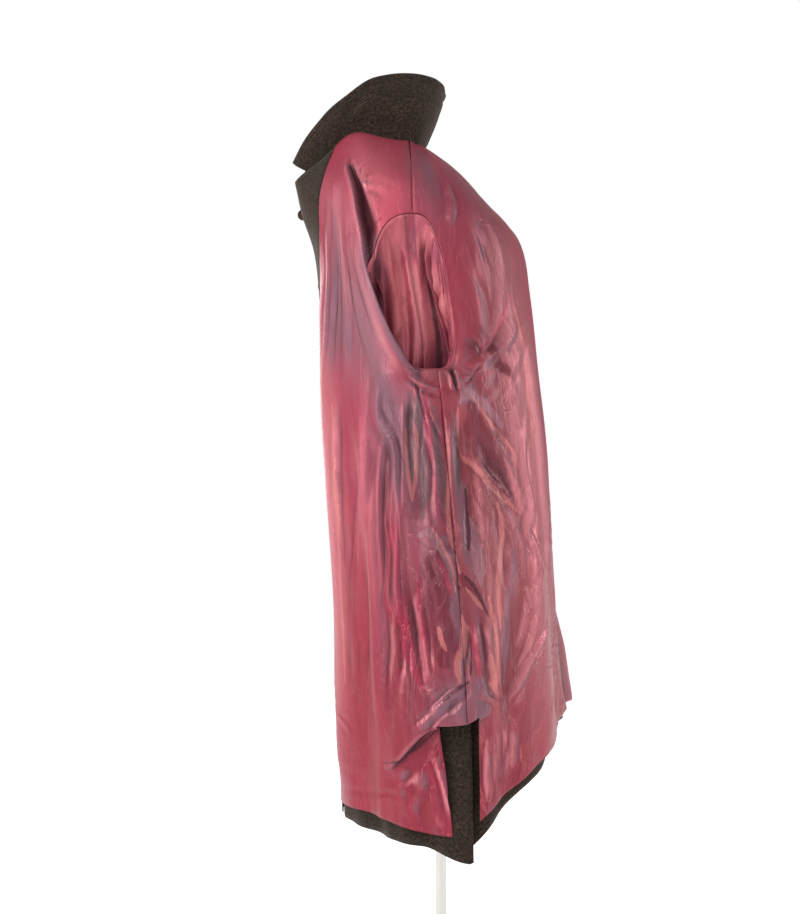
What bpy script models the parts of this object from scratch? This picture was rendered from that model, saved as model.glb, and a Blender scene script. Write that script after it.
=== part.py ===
"""A lined wool overcoat shown inside out on a limbless dress form with a pole and a round base.

The lining faces out. The wool lies under it and shows at the collar, the front facings, the hem and the vents.
The sleeves hang inside the coat, so each armhole is a hole that the sleeve lining drops into.
Metres, +Z up. The coat's front faces -Y and the wearer's left is +X. The origin is the centre of the base's underside.
"""

import math
from collections import namedtuple

import bpy
from mathutils import Vector

MM = 0.001

# Cloth thicknesses and the gaps between pieces
LINING_WALL = 1.0 * MM
WOOL_WALL = 2.5 * MM
COLLAR_WALL = 4.5 * MM
SEAM_GAP = 0.5 * MM
LAYER_GAP = 1.2 * MM
LINING_EASE = 8.0 * MM  # how far the lining stands off the wool away from the seams
WOOL_DEPTH = LINING_WALL + LAYER_GAP

# The coat's body as rings from the neck seam to the hem. A ring runs from the front edge round the side to the centre
# back. level is the distance down the cloth. The powers square the ring's corners below 1 and point them above it.
Ring = namedtuple(
    "Ring",
    "level z_front z_side z_back half_width y_front y_side y_back x_front crest power power_back",
)
RINGS = (
    Ring(0.000, 1.366, 1.422, 1.424, 0.083, -0.240, -0.052, -0.028, 0.035, 0.026, 0.60, 0.60),
    Ring(0.070, 1.311, 1.385, 1.380, 0.145, -0.227, -0.051, 0.027, 0.030, 0.012, 0.70, 0.70),
    Ring(0.130, 1.257, 1.345, 1.325, 0.195, -0.209, -0.050, 0.077, 0.014, 0.004, 0.78, 0.78),
    Ring(0.190, 1.200, 1.290, 1.268, 0.225, -0.202, -0.048, 0.128, 0.007, 0.000, 0.85, 0.85),
    Ring(0.270, 1.130, 1.200, 1.190, 0.241, -0.200, -0.036, 0.144, 0.005, 0.000, 0.85, 0.85),
    Ring(0.420, 1.020, 1.050, 1.050, 0.256, -0.197, -0.012, 0.158, 0.005, 0.000, 0.85, 0.85),
    Ring(0.620, 0.850, 0.850, 0.850, 0.272, -0.186, 0.008, 0.175, 0.006, 0.000, 0.85, 0.87),
    Ring(0.790, 0.680, 0.680, 0.700, 0.287, -0.177, 0.022, 0.184, 0.008, 0.000, 0.85, 0.92),
    Ring(0.950, 0.515, 0.515, 0.590, 0.300, -0.172, 0.032, 0.193, 0.011, 0.000, 0.85, 1.00),
    Ring(1.120, 0.353, 0.345, 0.490, 0.310, -0.166, 0.036, 0.205, 0.014, 0.000, 0.85, 1.08),
)
SIDE = 90.0  # the angle of the shoulder and side seams; the front edge is 0 and the centre back is 180
CENTRE_BACK = 180.0
FRONT_HEIGHT_POWER = 1.7  # how long a ring stays at its side height before it leaves it
BACK_HEIGHT_POWER = 1.1
CREST_ANGLE = 73.0
CREST_SPREAD = 14.0

# Folds: angle and level at both ends, the half width in degrees and the height, outward if positive
Fold = namedtuple("Fold", "angle_top angle_bottom level_top level_bottom half_width height")
DRAPE_LEFT = (
    Fold(0, 0, 0.13, 1.60, 17, -9 * MM),
    Fold(27, 28, 0.15, 1.60, 13, 5 * MM),
    Fold(46, 43, 0.45, 1.40, 11, -9 * MM),
    Fold(65, 66, 0.50, 1.40, 11, 6 * MM),
    Fold(111, 115, 0.45, 1.40, 13, -9 * MM),
    Fold(136, 134, 0.40, 1.40, 13, 8 * MM),
    Fold(160, 158, 0.55, 1.40, 15, -12 * MM),
)
DRAPE_RIGHT = (
    Fold(0, 0, 0.13, 1.60, 17, -7 * MM),
    Fold(29, 33, 0.40, 1.40, 12, -6 * MM),
    Fold(48, 52, 0.45, 1.40, 12, 8 * MM),
    Fold(70, 66, 0.50, 1.40, 11, -6 * MM),
    Fold(109, 114, 0.50, 1.40, 12, 8 * MM),
    Fold(134, 138, 0.42, 1.40, 13, -9 * MM),
    Fold(166, 166, 0.72, 1.55, 14, 26 * MM),
)
CREASES = (
    Fold(57, 74, 0.03, 0.46, 9, 18 * MM),
    Fold(40, 38, 0.38, 0.74, 8, -7 * MM),
    Fold(52, 55, 0.44, 1.00, 8, 8 * MM),
    Fold(62, 69, 0.46, 0.82, 8, -7 * MM),
    Fold(79, 80, 0.47, 0.66, 7, -6 * MM),
    Fold(84, 83, 0.62, 0.90, 8, 6 * MM),
    Fold(97, 98, 0.47, 0.72, 7, -6 * MM),
    Fold(98, 134, 0.50, 0.69, 9, -6 * MM),
    Fold(122, 118, 0.16, 0.50, 9, -6 * MM),
    Fold(146, 147, 0.30, 0.78, 9, 7 * MM),
    Fold(128, 112, 0.68, 0.98, 9, -7 * MM),
)
# Folds that run across the cloth: level and angle at both ends, the half width as a level and the height
Swag = namedtuple("Swag", "level_front level_back angle_front angle_back half_width height")
SWAGS = (
    Swag(0.425, 0.465, 60, 108, 0.040, 9 * MM),
)

# The armhole, in the ring's angle and level
HOLE_LEVEL = 0.305
HOLE_HALF = 0.115
HOLE_POWER = 2.7
HOLE_REACH = {-1: 24.0, 1: 9.0}
HOLE_ARC = {-1: 3.3 * MM, 1: 4.0 * MM}  # cloth in one degree, before and behind the side seam
HOLE_STEPS = (-1, -0.87, -0.66, -0.36, 0, 0.36, 0.66, 0.87, 1)
SLEEVE_ROOM = LINING_WALL + WOOL_WALL + LAYER_GAP  # the wool's armhole is that much larger than the lining's
WOOL_SEAM = 0.12  # degrees that the wool stops short of a seam, beyond the lining's edge

# Rows of a body panel, by level
YOKE_LEVELS = (0.022, 0.048, 0.078, 0.108, 0.136, 0.163)
SKIRT_LEVELS = (0.47, 0.54, 0.62, 0.70, 0.78, 0.85, 0.895)
VENT_TOP = 0.925
VENT_STEP = 0.016
VENT_LEVELS = (0.960, 0.990, 1.035)
LINING_HEM = 1.088
WOOL_HEM = 1.120
LINING_VENT = {-1: 81.0, 1: 95.5}
WOOL_VENT = {-1: 92.0, 1: 88.4}  # the front's wool laps over the back's
WOOL_LAP = 5 * MM
BACK_VENT_TOP = 0.74
BACK_VENT_OPEN = 9 * MM
BLOUSE_OUT = 14 * MM  # the lining bags over the top of the side vent
BLOUSE_DOWN = 8 * MM
BLOUSE_START = 0.80
VENT_CORNER_DROP = 20 * MM
VENT_CORNER_OUT = 10 * MM

# The front facing's inner edge, as level and angle
FACING_EDGE = ((0.0, 62.0), (0.03, 46.0), (0.07, 30.0), (0.13, 20.0), (0.19, 17.0), (1.2, 17.0))
WOOL_TOP = 0.007

# The collar's upper edge for the left half, by the angle of its foot on the neck seam
CollarStation = namedtuple("CollarStation", "angle x y z")
COLLAR_TOP = (
    CollarStation(35.0, 0.052, -0.245, 1.405),
    CollarStation(46.0, 0.067, -0.218, 1.440),
    CollarStation(57.0, 0.082, -0.185, 1.475),
    CollarStation(68.0, 0.095, -0.148, 1.502),
    CollarStation(80.0, 0.101, -0.112, 1.524),
    CollarStation(95.0, 0.101, -0.066, 1.532),
    CollarStation(125.0, 0.080, -0.022, 1.533),
    CollarStation(155.0, 0.045, 0.003, 1.529),
    CollarStation(180.0, 0.000, 0.010, 1.524),
)
COLLAR_BELLY = 6 * MM
COLLAR_SHARES = (0.0, 0.07, 0.20, 0.40, 0.60, 0.80, 1.0)
COLLAR_FOOT = 3 * MM  # how far the collar reaches down inside the neck's edge
COLLAR_CLEAR = 0.9 * MM
COLLAR_CLEAR_FACING = 4.0 * MM

# Sleeves, which hang inside the coat as flat tubes
CUFF_LEVEL = 0.700
SLEEVE_MID_X = 0.206
SLEEVE_MID_Y = -0.030
SLEEVE_HALF_THICK = 15 * MM
SLEEVE_HALF_WIDE = 66 * MM
SLEEVE_TURN_IN = 20 * MM
SLEEVE_SHARES = (0.0, 0.06, 0.14, 0.26, 0.42, 0.60, 0.80)
SLEEVE_LINING_END = 0.95  # the share of the sleeve's length where its lining stops
SLEEVE_SHRINK = 4 * MM
SLEEVE_WOOL_OUT = 3.4 * MM  # from the sleeve lining's face to the wool's
SLEEVE_WOOL_DEPTH = 5 * MM  # where the sleeve's wool starts below the armhole's edge

# Dress form, as height, half width, front and back
FormRing = namedtuple("FormRing", "z half_width y_front y_back power")
FORM_TOP = (
    FormRing(1.486, 0.030, -0.122, -0.066, 1.0),
    FormRing(1.481, 0.046, -0.137, -0.050, 1.0),
    FormRing(1.468, 0.054, -0.145, -0.042, 1.0),
    FormRing(1.432, 0.056, -0.147, -0.040, 1.0),
    FormRing(1.400, 0.060, -0.152, -0.036, 1.0),
)
FORM_SHOULDER = ((0.048, 3.9 * MM), (0.078, 2.2 * MM), (0.108, 1.0 * MM))  # level, and the gap under the wool
FORM_SHOULDER_EASE = 0.040
FORM_BODY = (
    FormRing(1.245, 0.178, -0.164, 0.080, 0.85),
    FormRing(1.205, 0.171, -0.170, 0.084, 0.85),
    FormRing(1.160, 0.162, -0.172, 0.080, 0.85),
    FormRing(1.080, 0.146, -0.150, 0.066, 0.90),
    FormRing(1.000, 0.136, -0.128, 0.058, 0.90),
    FormRing(0.920, 0.152, -0.126, 0.070, 0.90),
    FormRing(0.830, 0.172, -0.128, 0.090, 0.90),
    FormRing(0.760, 0.176, -0.122, 0.094, 0.90),
    FormRing(0.715, 0.168, -0.112, 0.086, 0.90),
)
FORM_MID_Y = -0.030
FORM_COLUMNS = 24
POLE_RADIUS = 9 * MM
BASE_RADIUS = 0.170
BASE_THICK = 14 * MM
BASE_EDGE = 4 * MM

# Buttons, sewn along the right front's wool side, which faces in. The top two have turned on their threads and reach
# past the front edge. yaw is the way a button faces, from straight back round to the wearer's left, and shank is the
# length of thread behind it.
ButtonPlace = namedtuple("ButtonPlace", "x y z yaw shank")
BUTTONS = (
    ButtonPlace(-0.0245, -0.2300, 1.325, 92, 4.7 * MM),
    ButtonPlace(-0.0010, -0.1950, 1.203, 90, 3.8 * MM),
    ButtonPlace(-0.0200, -0.1844, 1.083, 0, 2.9 * MM),
    ButtonPlace(-0.0200, -0.1758, 0.963, 0, 3.0 * MM),
    ButtonPlace(-0.0200, -0.1674, 0.843, 0, 2.9 * MM),
)
BUTTON_SHANK_RADIUS = 1.5 * MM
BUTTON_RADIUS = 9.5 * MM
BUTTON_THICK = 4 * MM
BUTTON_RIM = 1.2 * MM
BUTTON_SEGMENTS = 12

FRONT_COLUMNS = 14
BACK_COLUMNS = 12
FACING_COLUMNS = 3


def smooth(low, high, value):
    """0 below low, 1 above high, and a smooth rise between."""
    share = min(1.0, max(0.0, (value - low) / (high - low)))
    return share * share * (3 - 2 * share)


def bump(distance):
    """1 at distance 0, falling smoothly to 0 at distance 1."""
    return math.cos(math.pi / 2 * distance) ** 2 if abs(distance) < 1 else 0.0


def table_curve(keys, values, key):
    """A smooth curve through a table's points."""
    last = len(keys) - 1
    here = max(i for i in range(last) if keys[i] <= key or i == 0)

    def slope(i):
        low, high = max(i - 1, 0), min(i + 1, last)
        return (values[high] - values[low]) / (keys[high] - keys[low])

    span = keys[here + 1] - keys[here]
    t = (key - keys[here]) / span
    return (
        (2 * t**3 - 3 * t**2 + 1) * values[here]
        + (t**3 - 2 * t**2 + t) * span * slope(here)
        + (3 * t**2 - 2 * t**3) * values[here + 1]
        + (t**3 - t**2) * span * slope(here + 1)
    )


def ring_at(level):
    """The coat's ring at a level, read from the table."""
    keys = [ring.level for ring in RINGS]
    return Ring(*(table_curve(keys, [ring[i] for ring in RINGS], level) for i in range(len(Ring._fields))))


def body_point(angle, level):
    """The coat's outer surface on the left side, before its folds."""
    ring = ring_at(level)
    turn = math.radians(angle)
    if angle <= SIDE:
        along = abs(math.cos(turn)) ** ring.power
        rise = abs(math.cos(turn)) ** FRONT_HEIGHT_POWER
        across = max(math.sin(turn), 0.0) ** ring.power
        crest = ring.crest * math.exp(-(((angle - CREST_ANGLE) / CREST_SPREAD) ** 2))
        return Vector(
            (
                ring.x_front + (ring.half_width - ring.x_front) * across,
                ring.y_side + (ring.y_front - ring.y_side) * along,
                ring.z_side + (ring.z_front - ring.z_side) * rise + crest,
            )
        )
    along = abs(math.cos(turn)) ** ring.power_back
    rise = abs(math.cos(turn)) ** BACK_HEIGHT_POWER
    across = max(math.sin(turn), 0.0) ** ring.power_back
    return Vector(
        (
            ring.half_width * across,
            ring.y_side + (ring.y_back - ring.y_side) * along,
            ring.z_side + (ring.z_back - ring.z_side) * rise,
        )
    )


def body_normal(angle, level):
    """The outward direction there."""
    step, drop = 1.5, 0.006
    low, high = max(angle - step, 0.5), min(angle + step, CENTRE_BACK - 0.5)
    top, bottom = max(level - drop, 0.0), min(level + drop, WOOL_HEM)
    around = body_point(high, level) - body_point(low, level)
    down = body_point(angle, bottom) - body_point(angle, top)
    return down.cross(around).normalized()


def fold_height(folds, angle, level):
    """How far the folds move the cloth out at an angle and level."""
    height = 0.0
    for fold in folds:
        share = (level - fold.level_top) / (fold.level_bottom - fold.level_top)
        if 0 < share < 1:
            centre = fold.angle_top + (fold.angle_bottom - fold.angle_top) * share
            fade = smooth(0, 0.3, share) * (1 - smooth(0.8, 1.0, share))
            height += fold.height * fade * bump((angle - centre) / fold.half_width)
    return height


def swag_height(angle, level):
    """How far the folds that run across move the cloth out."""
    height = 0.0
    for swag in SWAGS:
        share = (angle - swag.angle_front) / (swag.angle_back - swag.angle_front)
        if 0 < share < 1:
            centre = swag.level_front + (swag.level_back - swag.level_front) * share
            fade = smooth(0, 0.3, share) * (1 - smooth(0.7, 1.0, share))
            height += swag.height * fade * bump((level - centre) / swag.half_width)
    return height


def drape_of(side):
    return DRAPE_LEFT if side > 0 else DRAPE_RIGHT


def blouse_level(angle):
    """The level where the bagging lining turns back in, which falls away towards the front."""
    return VENT_TOP + 0.004 + 0.075 * smooth(LINING_VENT[-1], LINING_VENT[-1] - 24, angle)


def ease_at(angle, level):
    """How much of the lining's ease it has there: none at the neck, the shoulder, the armhole and the edges."""
    half = -1 if angle < SIDE else 1
    step = (level - HOLE_LEVEL) / HOLE_HALF
    edge = hole_edge(half, step, 0.0)[0] if abs(step) < 1 else SIDE
    from_seam = max(smooth(0, 10, half * (angle - edge)), smooth(0.45, 0.55, level))
    from_front = smooth(facing_angle(level), facing_angle(level) + 10, angle)
    from_back = smooth(0, 10, CENTRE_BACK - angle)
    return from_seam * from_front * from_back * smooth(0.0, 0.10, level)


def cloth_point(side, angle, level, depth=0.0, creased=True):
    """A point of the left or right side, depth below the lining's face."""
    out = fold_height(drape_of(side), angle, level) - depth
    down = 0.0
    if creased:
        crease = fold_height(CREASES, angle, level) + swag_height(angle, level)
        out += max(crease, -0.85 * LINING_EASE * ease_at(angle, level))
        if level <= blouse_level(angle):
            bag = smooth(BLOUSE_START, VENT_TOP, level) * bump((angle - 84) / 22)
            out += BLOUSE_OUT * bag
            down = BLOUSE_DOWN * bag * smooth(0.88, VENT_TOP, level)
    point = body_point(angle, level) + body_normal(angle, level) * out
    point.z -= down
    return Vector((point.x * side, point.y, point.z))


def facing_angle(level):
    """The angle of the seam between the front facing and the lining."""
    keys = [row[0] for row in FACING_EDGE]
    here = max(i for i in range(len(keys) - 1) if keys[i] <= level or i == 0)
    (low, first), (high, last) = FACING_EDGE[here], FACING_EDGE[here + 1]
    return first + (last - first) * (level - low) / (high - low)


def hole_edge(half, step, grow):
    """Angle and level of the armhole's edge, before (-1) or behind (1) the side seam."""
    reach = (1 - abs(step) ** HOLE_POWER) ** (1 / HOLE_POWER)
    angle = SIDE + half * (HOLE_REACH[half] + grow / HOLE_ARC[half]) * reach
    return angle, HOLE_LEVEL + (HOLE_HALF + grow) * step


def panel_rows(grow, top, hem):
    """The rows of a body panel, each a level with the armhole step it has or None."""
    rows = [(top, None)] + [(level, None) for level in YOKE_LEVELS]
    rows += [(hole_edge(1, step, grow)[1], step) for step in HOLE_STEPS]
    rows += [(level, None) for level in SKIRT_LEVELS]
    rows += [(level, None) for level in (VENT_TOP, VENT_TOP + VENT_STEP, *VENT_LEVELS, hem)]
    return rows


def side_edge(half, level, step, grow, vent):
    """The angle where a panel ends at the side: the armhole, the seam or the vent."""
    seam = half * SEAM_GAP / 2 / HOLE_ARC[half]
    if step is not None and abs(step) < 1:
        return hole_edge(half, step, grow)[0]
    if vent is not None and level > VENT_TOP:
        return vent
    return SIDE + seam


def spread(first, last, count):
    return [first + (last - first) * i / count for i in range(count + 1)]


def front_columns(first, last, count):
    """Angles from the facing to the side that crowd towards an edge short of the side seam."""
    short = SIDE - last
    return [first + (SIDE - first) * i / count - short * (i / count) ** 2 for i in range(count + 1)]


def new_material(name, colour, roughness, metallic=0.0):
    material = bpy.data.materials.new(name)
    material.use_nodes = True
    shader = material.node_tree.nodes["Principled BSDF"]
    shader.inputs["Base Color"].default_value = (*colour, 1.0)
    shader.inputs["Roughness"].default_value = roughness
    shader.inputs["Metallic"].default_value = metallic
    return material


def add_object(name, mesh, material, collection):
    piece = bpy.data.objects.new(name, mesh)
    mesh.materials.append(material)
    mesh.shade_smooth()
    mesh.set_sharp_from_angle(angle=math.radians(40))
    collection.objects.link(piece)
    return piece


def loft(name, rows, material, collection, ring=False, flip=False, wall=0.0):
    """A sheet through rows of points, as a wall if it has a thickness. The wall grows away from the face."""
    count = len(rows[0])
    faces = []
    for r in range(len(rows) - 1):
        for c in range(count if ring else count - 1):
            after = (c + 1) % count
            face = (r * count + c, (r + 1) * count + c, (r + 1) * count + after, r * count + after)
            faces.append(face[::-1] if flip else face)
    if ring and not wall:
        top = tuple(range(count))
        bottom = tuple(range((len(rows) - 1) * count, len(rows) * count))[::-1]
        faces += [top[::-1], bottom[::-1]] if flip else [top, bottom]
    mesh = bpy.data.meshes.new(name)
    mesh.from_pydata([tuple(point) for row in rows for point in row], [], faces)
    piece = add_object(name, mesh, material, collection)
    if wall:
        solid = piece.modifiers.new("wall", "SOLIDIFY")
        solid.thickness = wall
        solid.offset = -1.0
    return piece


def side_name(side):
    return "left" if side > 0 else "right"


def front_lining(side):
    rows = []
    for level, step in panel_rows(0.0, 0.0, LINING_HEM):
        first = facing_angle(level) + 0.25
        last = side_edge(-1, level, step, 0.0, LINING_VENT[-1])
        rows.append([cloth_point(side, angle, level) for angle in front_columns(first, last, FRONT_COLUMNS)])
    return rows


def back_lining(side):
    rows = []
    for level, step in panel_rows(0.0, 0.0, LINING_HEM):
        first = side_edge(1, level, step, 0.0, LINING_VENT[1])
        last = centre_back(level, SEAM_GAP / 2)
        rows.append([cloth_point(side, angle, level) for angle in spread(first, last, BACK_COLUMNS)])
    return rows


def centre_back(level, short):
    """The angle where a back panel ends, short of the centre and drawn back from it along the vent."""
    ring = ring_at(level)
    away = short + BACK_VENT_OPEN * smooth(BACK_VENT_TOP, 1.0, level)
    return CENTRE_BACK - math.degrees(math.asin((away / ring.half_width) ** (1 / ring.power_back)))


def front_facing(side):
    rows = []
    for level, _ in panel_rows(0.0, 0.0, WOOL_HEM - 0.006):
        last = facing_angle(level) - 0.25
        rows.append([cloth_point(side, angle, level) for angle in spread(0.0, last, FACING_COLUMNS)])
    return rows


def wool_depth(angle, level):
    """How far the wool lies below the lining's face, or below the facing near the front edge."""
    covered = 1 - smooth(facing_angle(level), facing_angle(level) + 6, angle)
    at_neck = 1.0 * MM * (1 - smooth(0.02, 0.06, level))
    return at_neck + max(WOOL_DEPTH + LINING_EASE * ease_at(angle, level), (WOOL_WALL + LAYER_GAP) * covered)


def front_wool(side):
    rows = []
    for level, step in panel_rows(SLEEVE_ROOM, WOOL_TOP, WOOL_HEM):
        seam = facing_angle(level)
        last = side_edge(-1, level, step, SLEEVE_ROOM, WOOL_VENT[-1]) - WOOL_SEAM
        angles = spread(0.0, seam - 0.25, FACING_COLUMNS) + front_columns(seam + 0.25, last, FRONT_COLUMNS)[2::2]
        row = [cloth_point(side, angle, level, wool_depth(angle, level), creased=False) for angle in angles]
        if level >= VENT_TOP:
            lap = WOOL_LAP if level > VENT_TOP else WOOL_LAP / 2
            row[-1].x += side * (lap + VENT_CORNER_OUT * smooth(VENT_TOP, WOOL_HEM, level))
        row[-1].z -= VENT_CORNER_DROP * smooth(1.03, WOOL_HEM, level)
        rows.append(row)
    return rows


def back_wool(side):
    rows = []
    for level, step in panel_rows(SLEEVE_ROOM, WOOL_TOP, WOOL_HEM):
        first = side_edge(1, level, step, SLEEVE_ROOM, WOOL_VENT[1]) + WOOL_SEAM
        last = centre_back(level, SEAM_GAP)
        angles = spread(first, last, BACK_COLUMNS)[::2]
        row = [cloth_point(side, angle, level, wool_depth(angle, level), creased=False) for angle in angles]
        if level >= VENT_TOP:
            row[0].x -= side * (WOOL_LAP if level > VENT_TOP else WOOL_LAP / 2)
        rows.append(row)
    return rows


def armhole_loop(side, grow, depth, lean, creased):
    """A loop round the armhole, down the front and up the back. lean takes its bottom out and its top in."""
    loop = [(-1, step) for step in HOLE_STEPS] + [(1, step) for step in HOLE_STEPS[-2:0:-1]]
    points = []
    for half, step in loop:
        angle, level = hole_edge(half, step, grow)
        points.append(cloth_point(side, angle, level, depth - lean * step, creased))
    return points


def sleeve_oval(side, count, z, grow):
    """The sleeve's flat section, from its inner wall round the front to its outer wall and back."""
    points = []
    for i in range(count):
        turn = 2 * math.pi * i / count
        x = SLEEVE_MID_X - (SLEEVE_HALF_THICK + grow) * math.cos(turn)
        y = SLEEVE_MID_Y - (SLEEVE_HALF_WIDE + grow) * math.sin(turn)
        points.append(Vector((x * side, y, z)))
    return points


def sleeve(side, edge, grow, end_share):
    """Rows of a sleeve's cloth, from its loop at the armhole to its end. grow is how far out of the lining it lies."""
    start = -LINING_WALL - SEAM_GAP - SLEEVE_SHRINK + grow
    turned_in = armhole_loop(side, start, SLEEVE_TURN_IN, grow, False)
    rows = [edge]
    for share in (*SLEEVE_SHARES, end_share):
        settle = smooth(0, 0.35, share)
        row = []
        for i, point in enumerate(turned_in):
            z = point.z + (CUFF_LEVEL - point.z) * share
            end = sleeve_oval(side, len(turned_in), z, grow)[i]
            row.append(Vector((point.x + (end.x - point.x) * settle, point.y + (end.y - point.y) * settle, z)))
        rows.append(row)
    return rows


def sleeve_lining(side):
    edge = armhole_loop(side, -LINING_WALL - SEAM_GAP, 0.0, 0.0, True)
    return sleeve(side, edge, 0.0, SLEEVE_LINING_END)


def sleeve_wool(side):
    edge = armhole_loop(side, 0.0, SLEEVE_WOOL_DEPTH, 0.0, True)
    return sleeve(side, edge, SLEEVE_WOOL_OUT, 1.0)


def collar_foot(angle):
    """The collar's foot, just inside the neck's edge."""
    here = body_point(angle, 0.0)
    along = body_point(min(angle + 2, CENTRE_BACK), 0.0) - body_point(angle - 2, 0.0)
    inward = Vector((-along.y, along.x, 0)).normalized()
    inside_facing = 1 - smooth(58, 66, angle)
    return here + inward * (COLLAR_CLEAR + (COLLAR_CLEAR_FACING - COLLAR_CLEAR) * inside_facing)


def collar_rows():
    """Rows of the collar from its upper edge to its foot at the neck seam, left notch to right notch."""
    keys = [station.angle for station in COLLAR_TOP]
    angles = sorted({a + (b - a) * i / 2 for a, b in zip(keys, keys[1:]) for i in range(3)})
    half = []
    for angle in angles:
        top = Vector([table_curve(keys, [station[i] for station in COLLAR_TOP], angle) for i in (1, 2, 3)])
        half.append((collar_foot(angle), top))
    columns = half + [(Vector((-a.x, a.y, a.z)), Vector((-b.x, b.y, b.z))) for a, b in half[-2::-1]]
    rows = []
    for share in COLLAR_SHARES:
        lean = max(0.0, (share - COLLAR_SHARES[1]) / (1 - COLLAR_SHARES[1]))
        row = []
        for foot, top in columns:
            point = foot.lerp(top, lean**1.15)
            point.z = foot.z - COLLAR_FOOT + (top.z - foot.z + COLLAR_FOOT) * share
            out = Vector((foot.x, foot.y + 0.10, 0)).normalized()
            row.append(point + out * COLLAR_BELLY * math.sin(math.pi * lean))
        rows.append(row)
    return rows[::-1]


def form_ring(ring):
    """One section of the dress form."""
    points = []
    for i in range(FORM_COLUMNS):
        turn = 2 * math.pi * i / FORM_COLUMNS
        across, along = math.sin(turn), math.cos(turn)
        reach = ring.y_front if along > 0 else ring.y_back
        x = ring.half_width * math.copysign(abs(across) ** ring.power, across)
        y = FORM_MID_Y + (reach - FORM_MID_Y) * abs(along) ** ring.power
        points.append(Vector((x, y, ring.z)))
    return points


def neck_ring(ring):
    """One round section of the form's neck."""
    middle = (ring.y_front + ring.y_back) / 2
    radius = (ring.y_back - ring.y_front) / 2
    points = []
    for i in range(FORM_COLUMNS):
        turn = 2 * math.pi * i / FORM_COLUMNS
        points.append(Vector((ring.half_width * math.sin(turn), middle - radius * math.cos(turn), ring.z)))
    return points


def shoulder_ring(level, gap):
    """A section just under the coat's shoulder, which carries the cloth at the shoulder seam."""
    depth = WOOL_DEPTH + WOOL_WALL + gap
    points = []
    for i in range(FORM_COLUMNS):
        angle = 360.0 * i / FORM_COLUMNS
        side = 1 if angle <= 180 else -1
        angle = angle if side > 0 else 360.0 - angle
        away = abs(math.cos(math.radians(angle))) ** (1.0 if angle < SIDE else 0.7)
        point = body_point(angle, level) - body_normal(angle, level) * (depth + FORM_SHOULDER_EASE * away)
        if angle < SIDE:
            point.x *= 1 - away + math.sin(math.radians(angle)) * away
        points.append(Vector((point.x * side, point.y, point.z)))
    return points


def dress_form(material, collection):
    rows = [neck_ring(ring) for ring in FORM_TOP]
    rows += [shoulder_ring(level, gap) for level, gap in FORM_SHOULDER]
    rows += [form_ring(ring) for ring in FORM_BODY]
    return loft("dress_form", rows, material, collection, ring=True)


def turned(name, profile, steps, material, collection):
    """A turned solid about Z from a profile that runs down its outer side."""
    mesh = bpy.data.meshes.new(name)
    edges = [(i, i + 1) for i in range(len(profile) - 1)]
    mesh.from_pydata([(radius, 0.0, z) for radius, z in profile], edges, [])
    piece = add_object(name, mesh, material, collection)
    screw = piece.modifiers.new("turn", "SCREW")
    screw.steps = screw.render_steps = steps
    screw.use_merge_vertices = True
    screw.merge_threshold = 0.00001
    return piece


def stand(metal, collection):
    turned(
        "stand_base",
        ((0, BASE_THICK), (BASE_RADIUS - BASE_EDGE, BASE_THICK), (BASE_RADIUS, BASE_THICK - BASE_EDGE),
         (BASE_RADIUS, 0), (0, 0)),
        40, metal, collection,
    )
    low = BASE_THICK + 0.3 * MM
    high = FORM_BODY[-1].z - 0.3 * MM
    turned("stand_pole", ((0, high), (POLE_RADIUS, high), (POLE_RADIUS, low), (0, low)), 20, metal, collection)


def buttons(material, collection):
    """Turned buttons with a sunk face and a thread shank."""
    half = BUTTON_THICK / 2
    inner = BUTTON_RADIUS - 2.5 * MM
    for number, place in enumerate(BUTTONS, 1):
        profile = (
            (0, half - BUTTON_RIM),
            (inner, half - BUTTON_RIM),
            (inner + 0.8 * MM, half),
            (BUTTON_RADIUS - 0.6 * MM, half),
            (BUTTON_RADIUS, half - 0.8 * MM),
            (BUTTON_RADIUS, -half + 0.8 * MM),
            (BUTTON_RADIUS - 0.8 * MM, -half),
            (BUTTON_SHANK_RADIUS, -half),
            (BUTTON_SHANK_RADIUS, -half - place.shank),
            (0, -half - place.shank),
        )
        button = turned(f"button_{number}", profile, BUTTON_SEGMENTS, material, collection)
        button.location = (place.x, place.y, place.z)
        button.rotation_euler = (math.radians(-90), 0, math.radians(-place.yaw))


def main():
    for old in list(bpy.data.objects):
        bpy.data.objects.remove(old)
    coat = bpy.data.collections.new("inside_out_coat")
    bpy.context.scene.collection.children.link(coat)
    lining = new_material("lining", (0.36, 0.09, 0.13), 0.35)
    wool = new_material("wool", (0.045, 0.034, 0.028), 0.95)
    horn = new_material("horn", (0.05, 0.035, 0.025), 0.4)
    linen = new_material("linen", (0.62, 0.58, 0.50), 0.9)
    metal = new_material("stand_metal", (0.75, 0.74, 0.70), 0.3, 0.6)
    for side in (1, -1):
        name = side_name(side)
        flip = side < 0
        loft(f"front_lining_{name}", front_lining(side), lining, coat, flip=flip, wall=LINING_WALL)
        loft(f"back_lining_{name}", back_lining(side), lining, coat, flip=flip, wall=LINING_WALL)
        loft(f"front_facing_{name}", front_facing(side), wool, coat, flip=flip, wall=WOOL_WALL)
        loft(f"front_wool_{name}", front_wool(side), wool, coat, flip=flip, wall=WOOL_WALL)
        loft(f"back_wool_{name}", back_wool(side), wool, coat, flip=flip, wall=WOOL_WALL)
        loft(f"sleeve_lining_{name}", sleeve_lining(side), lining, coat, ring=True, flip=not flip, wall=LINING_WALL)
        loft(f"sleeve_wool_{name}", sleeve_wool(side), wool, coat, ring=True, flip=not flip, wall=WOOL_WALL)
    loft("collar", collar_rows(), wool, coat, wall=COLLAR_WALL)
    buttons(horn, coat)
    dress_form(linen, coat)
    stand(metal, coat)


main()
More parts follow.
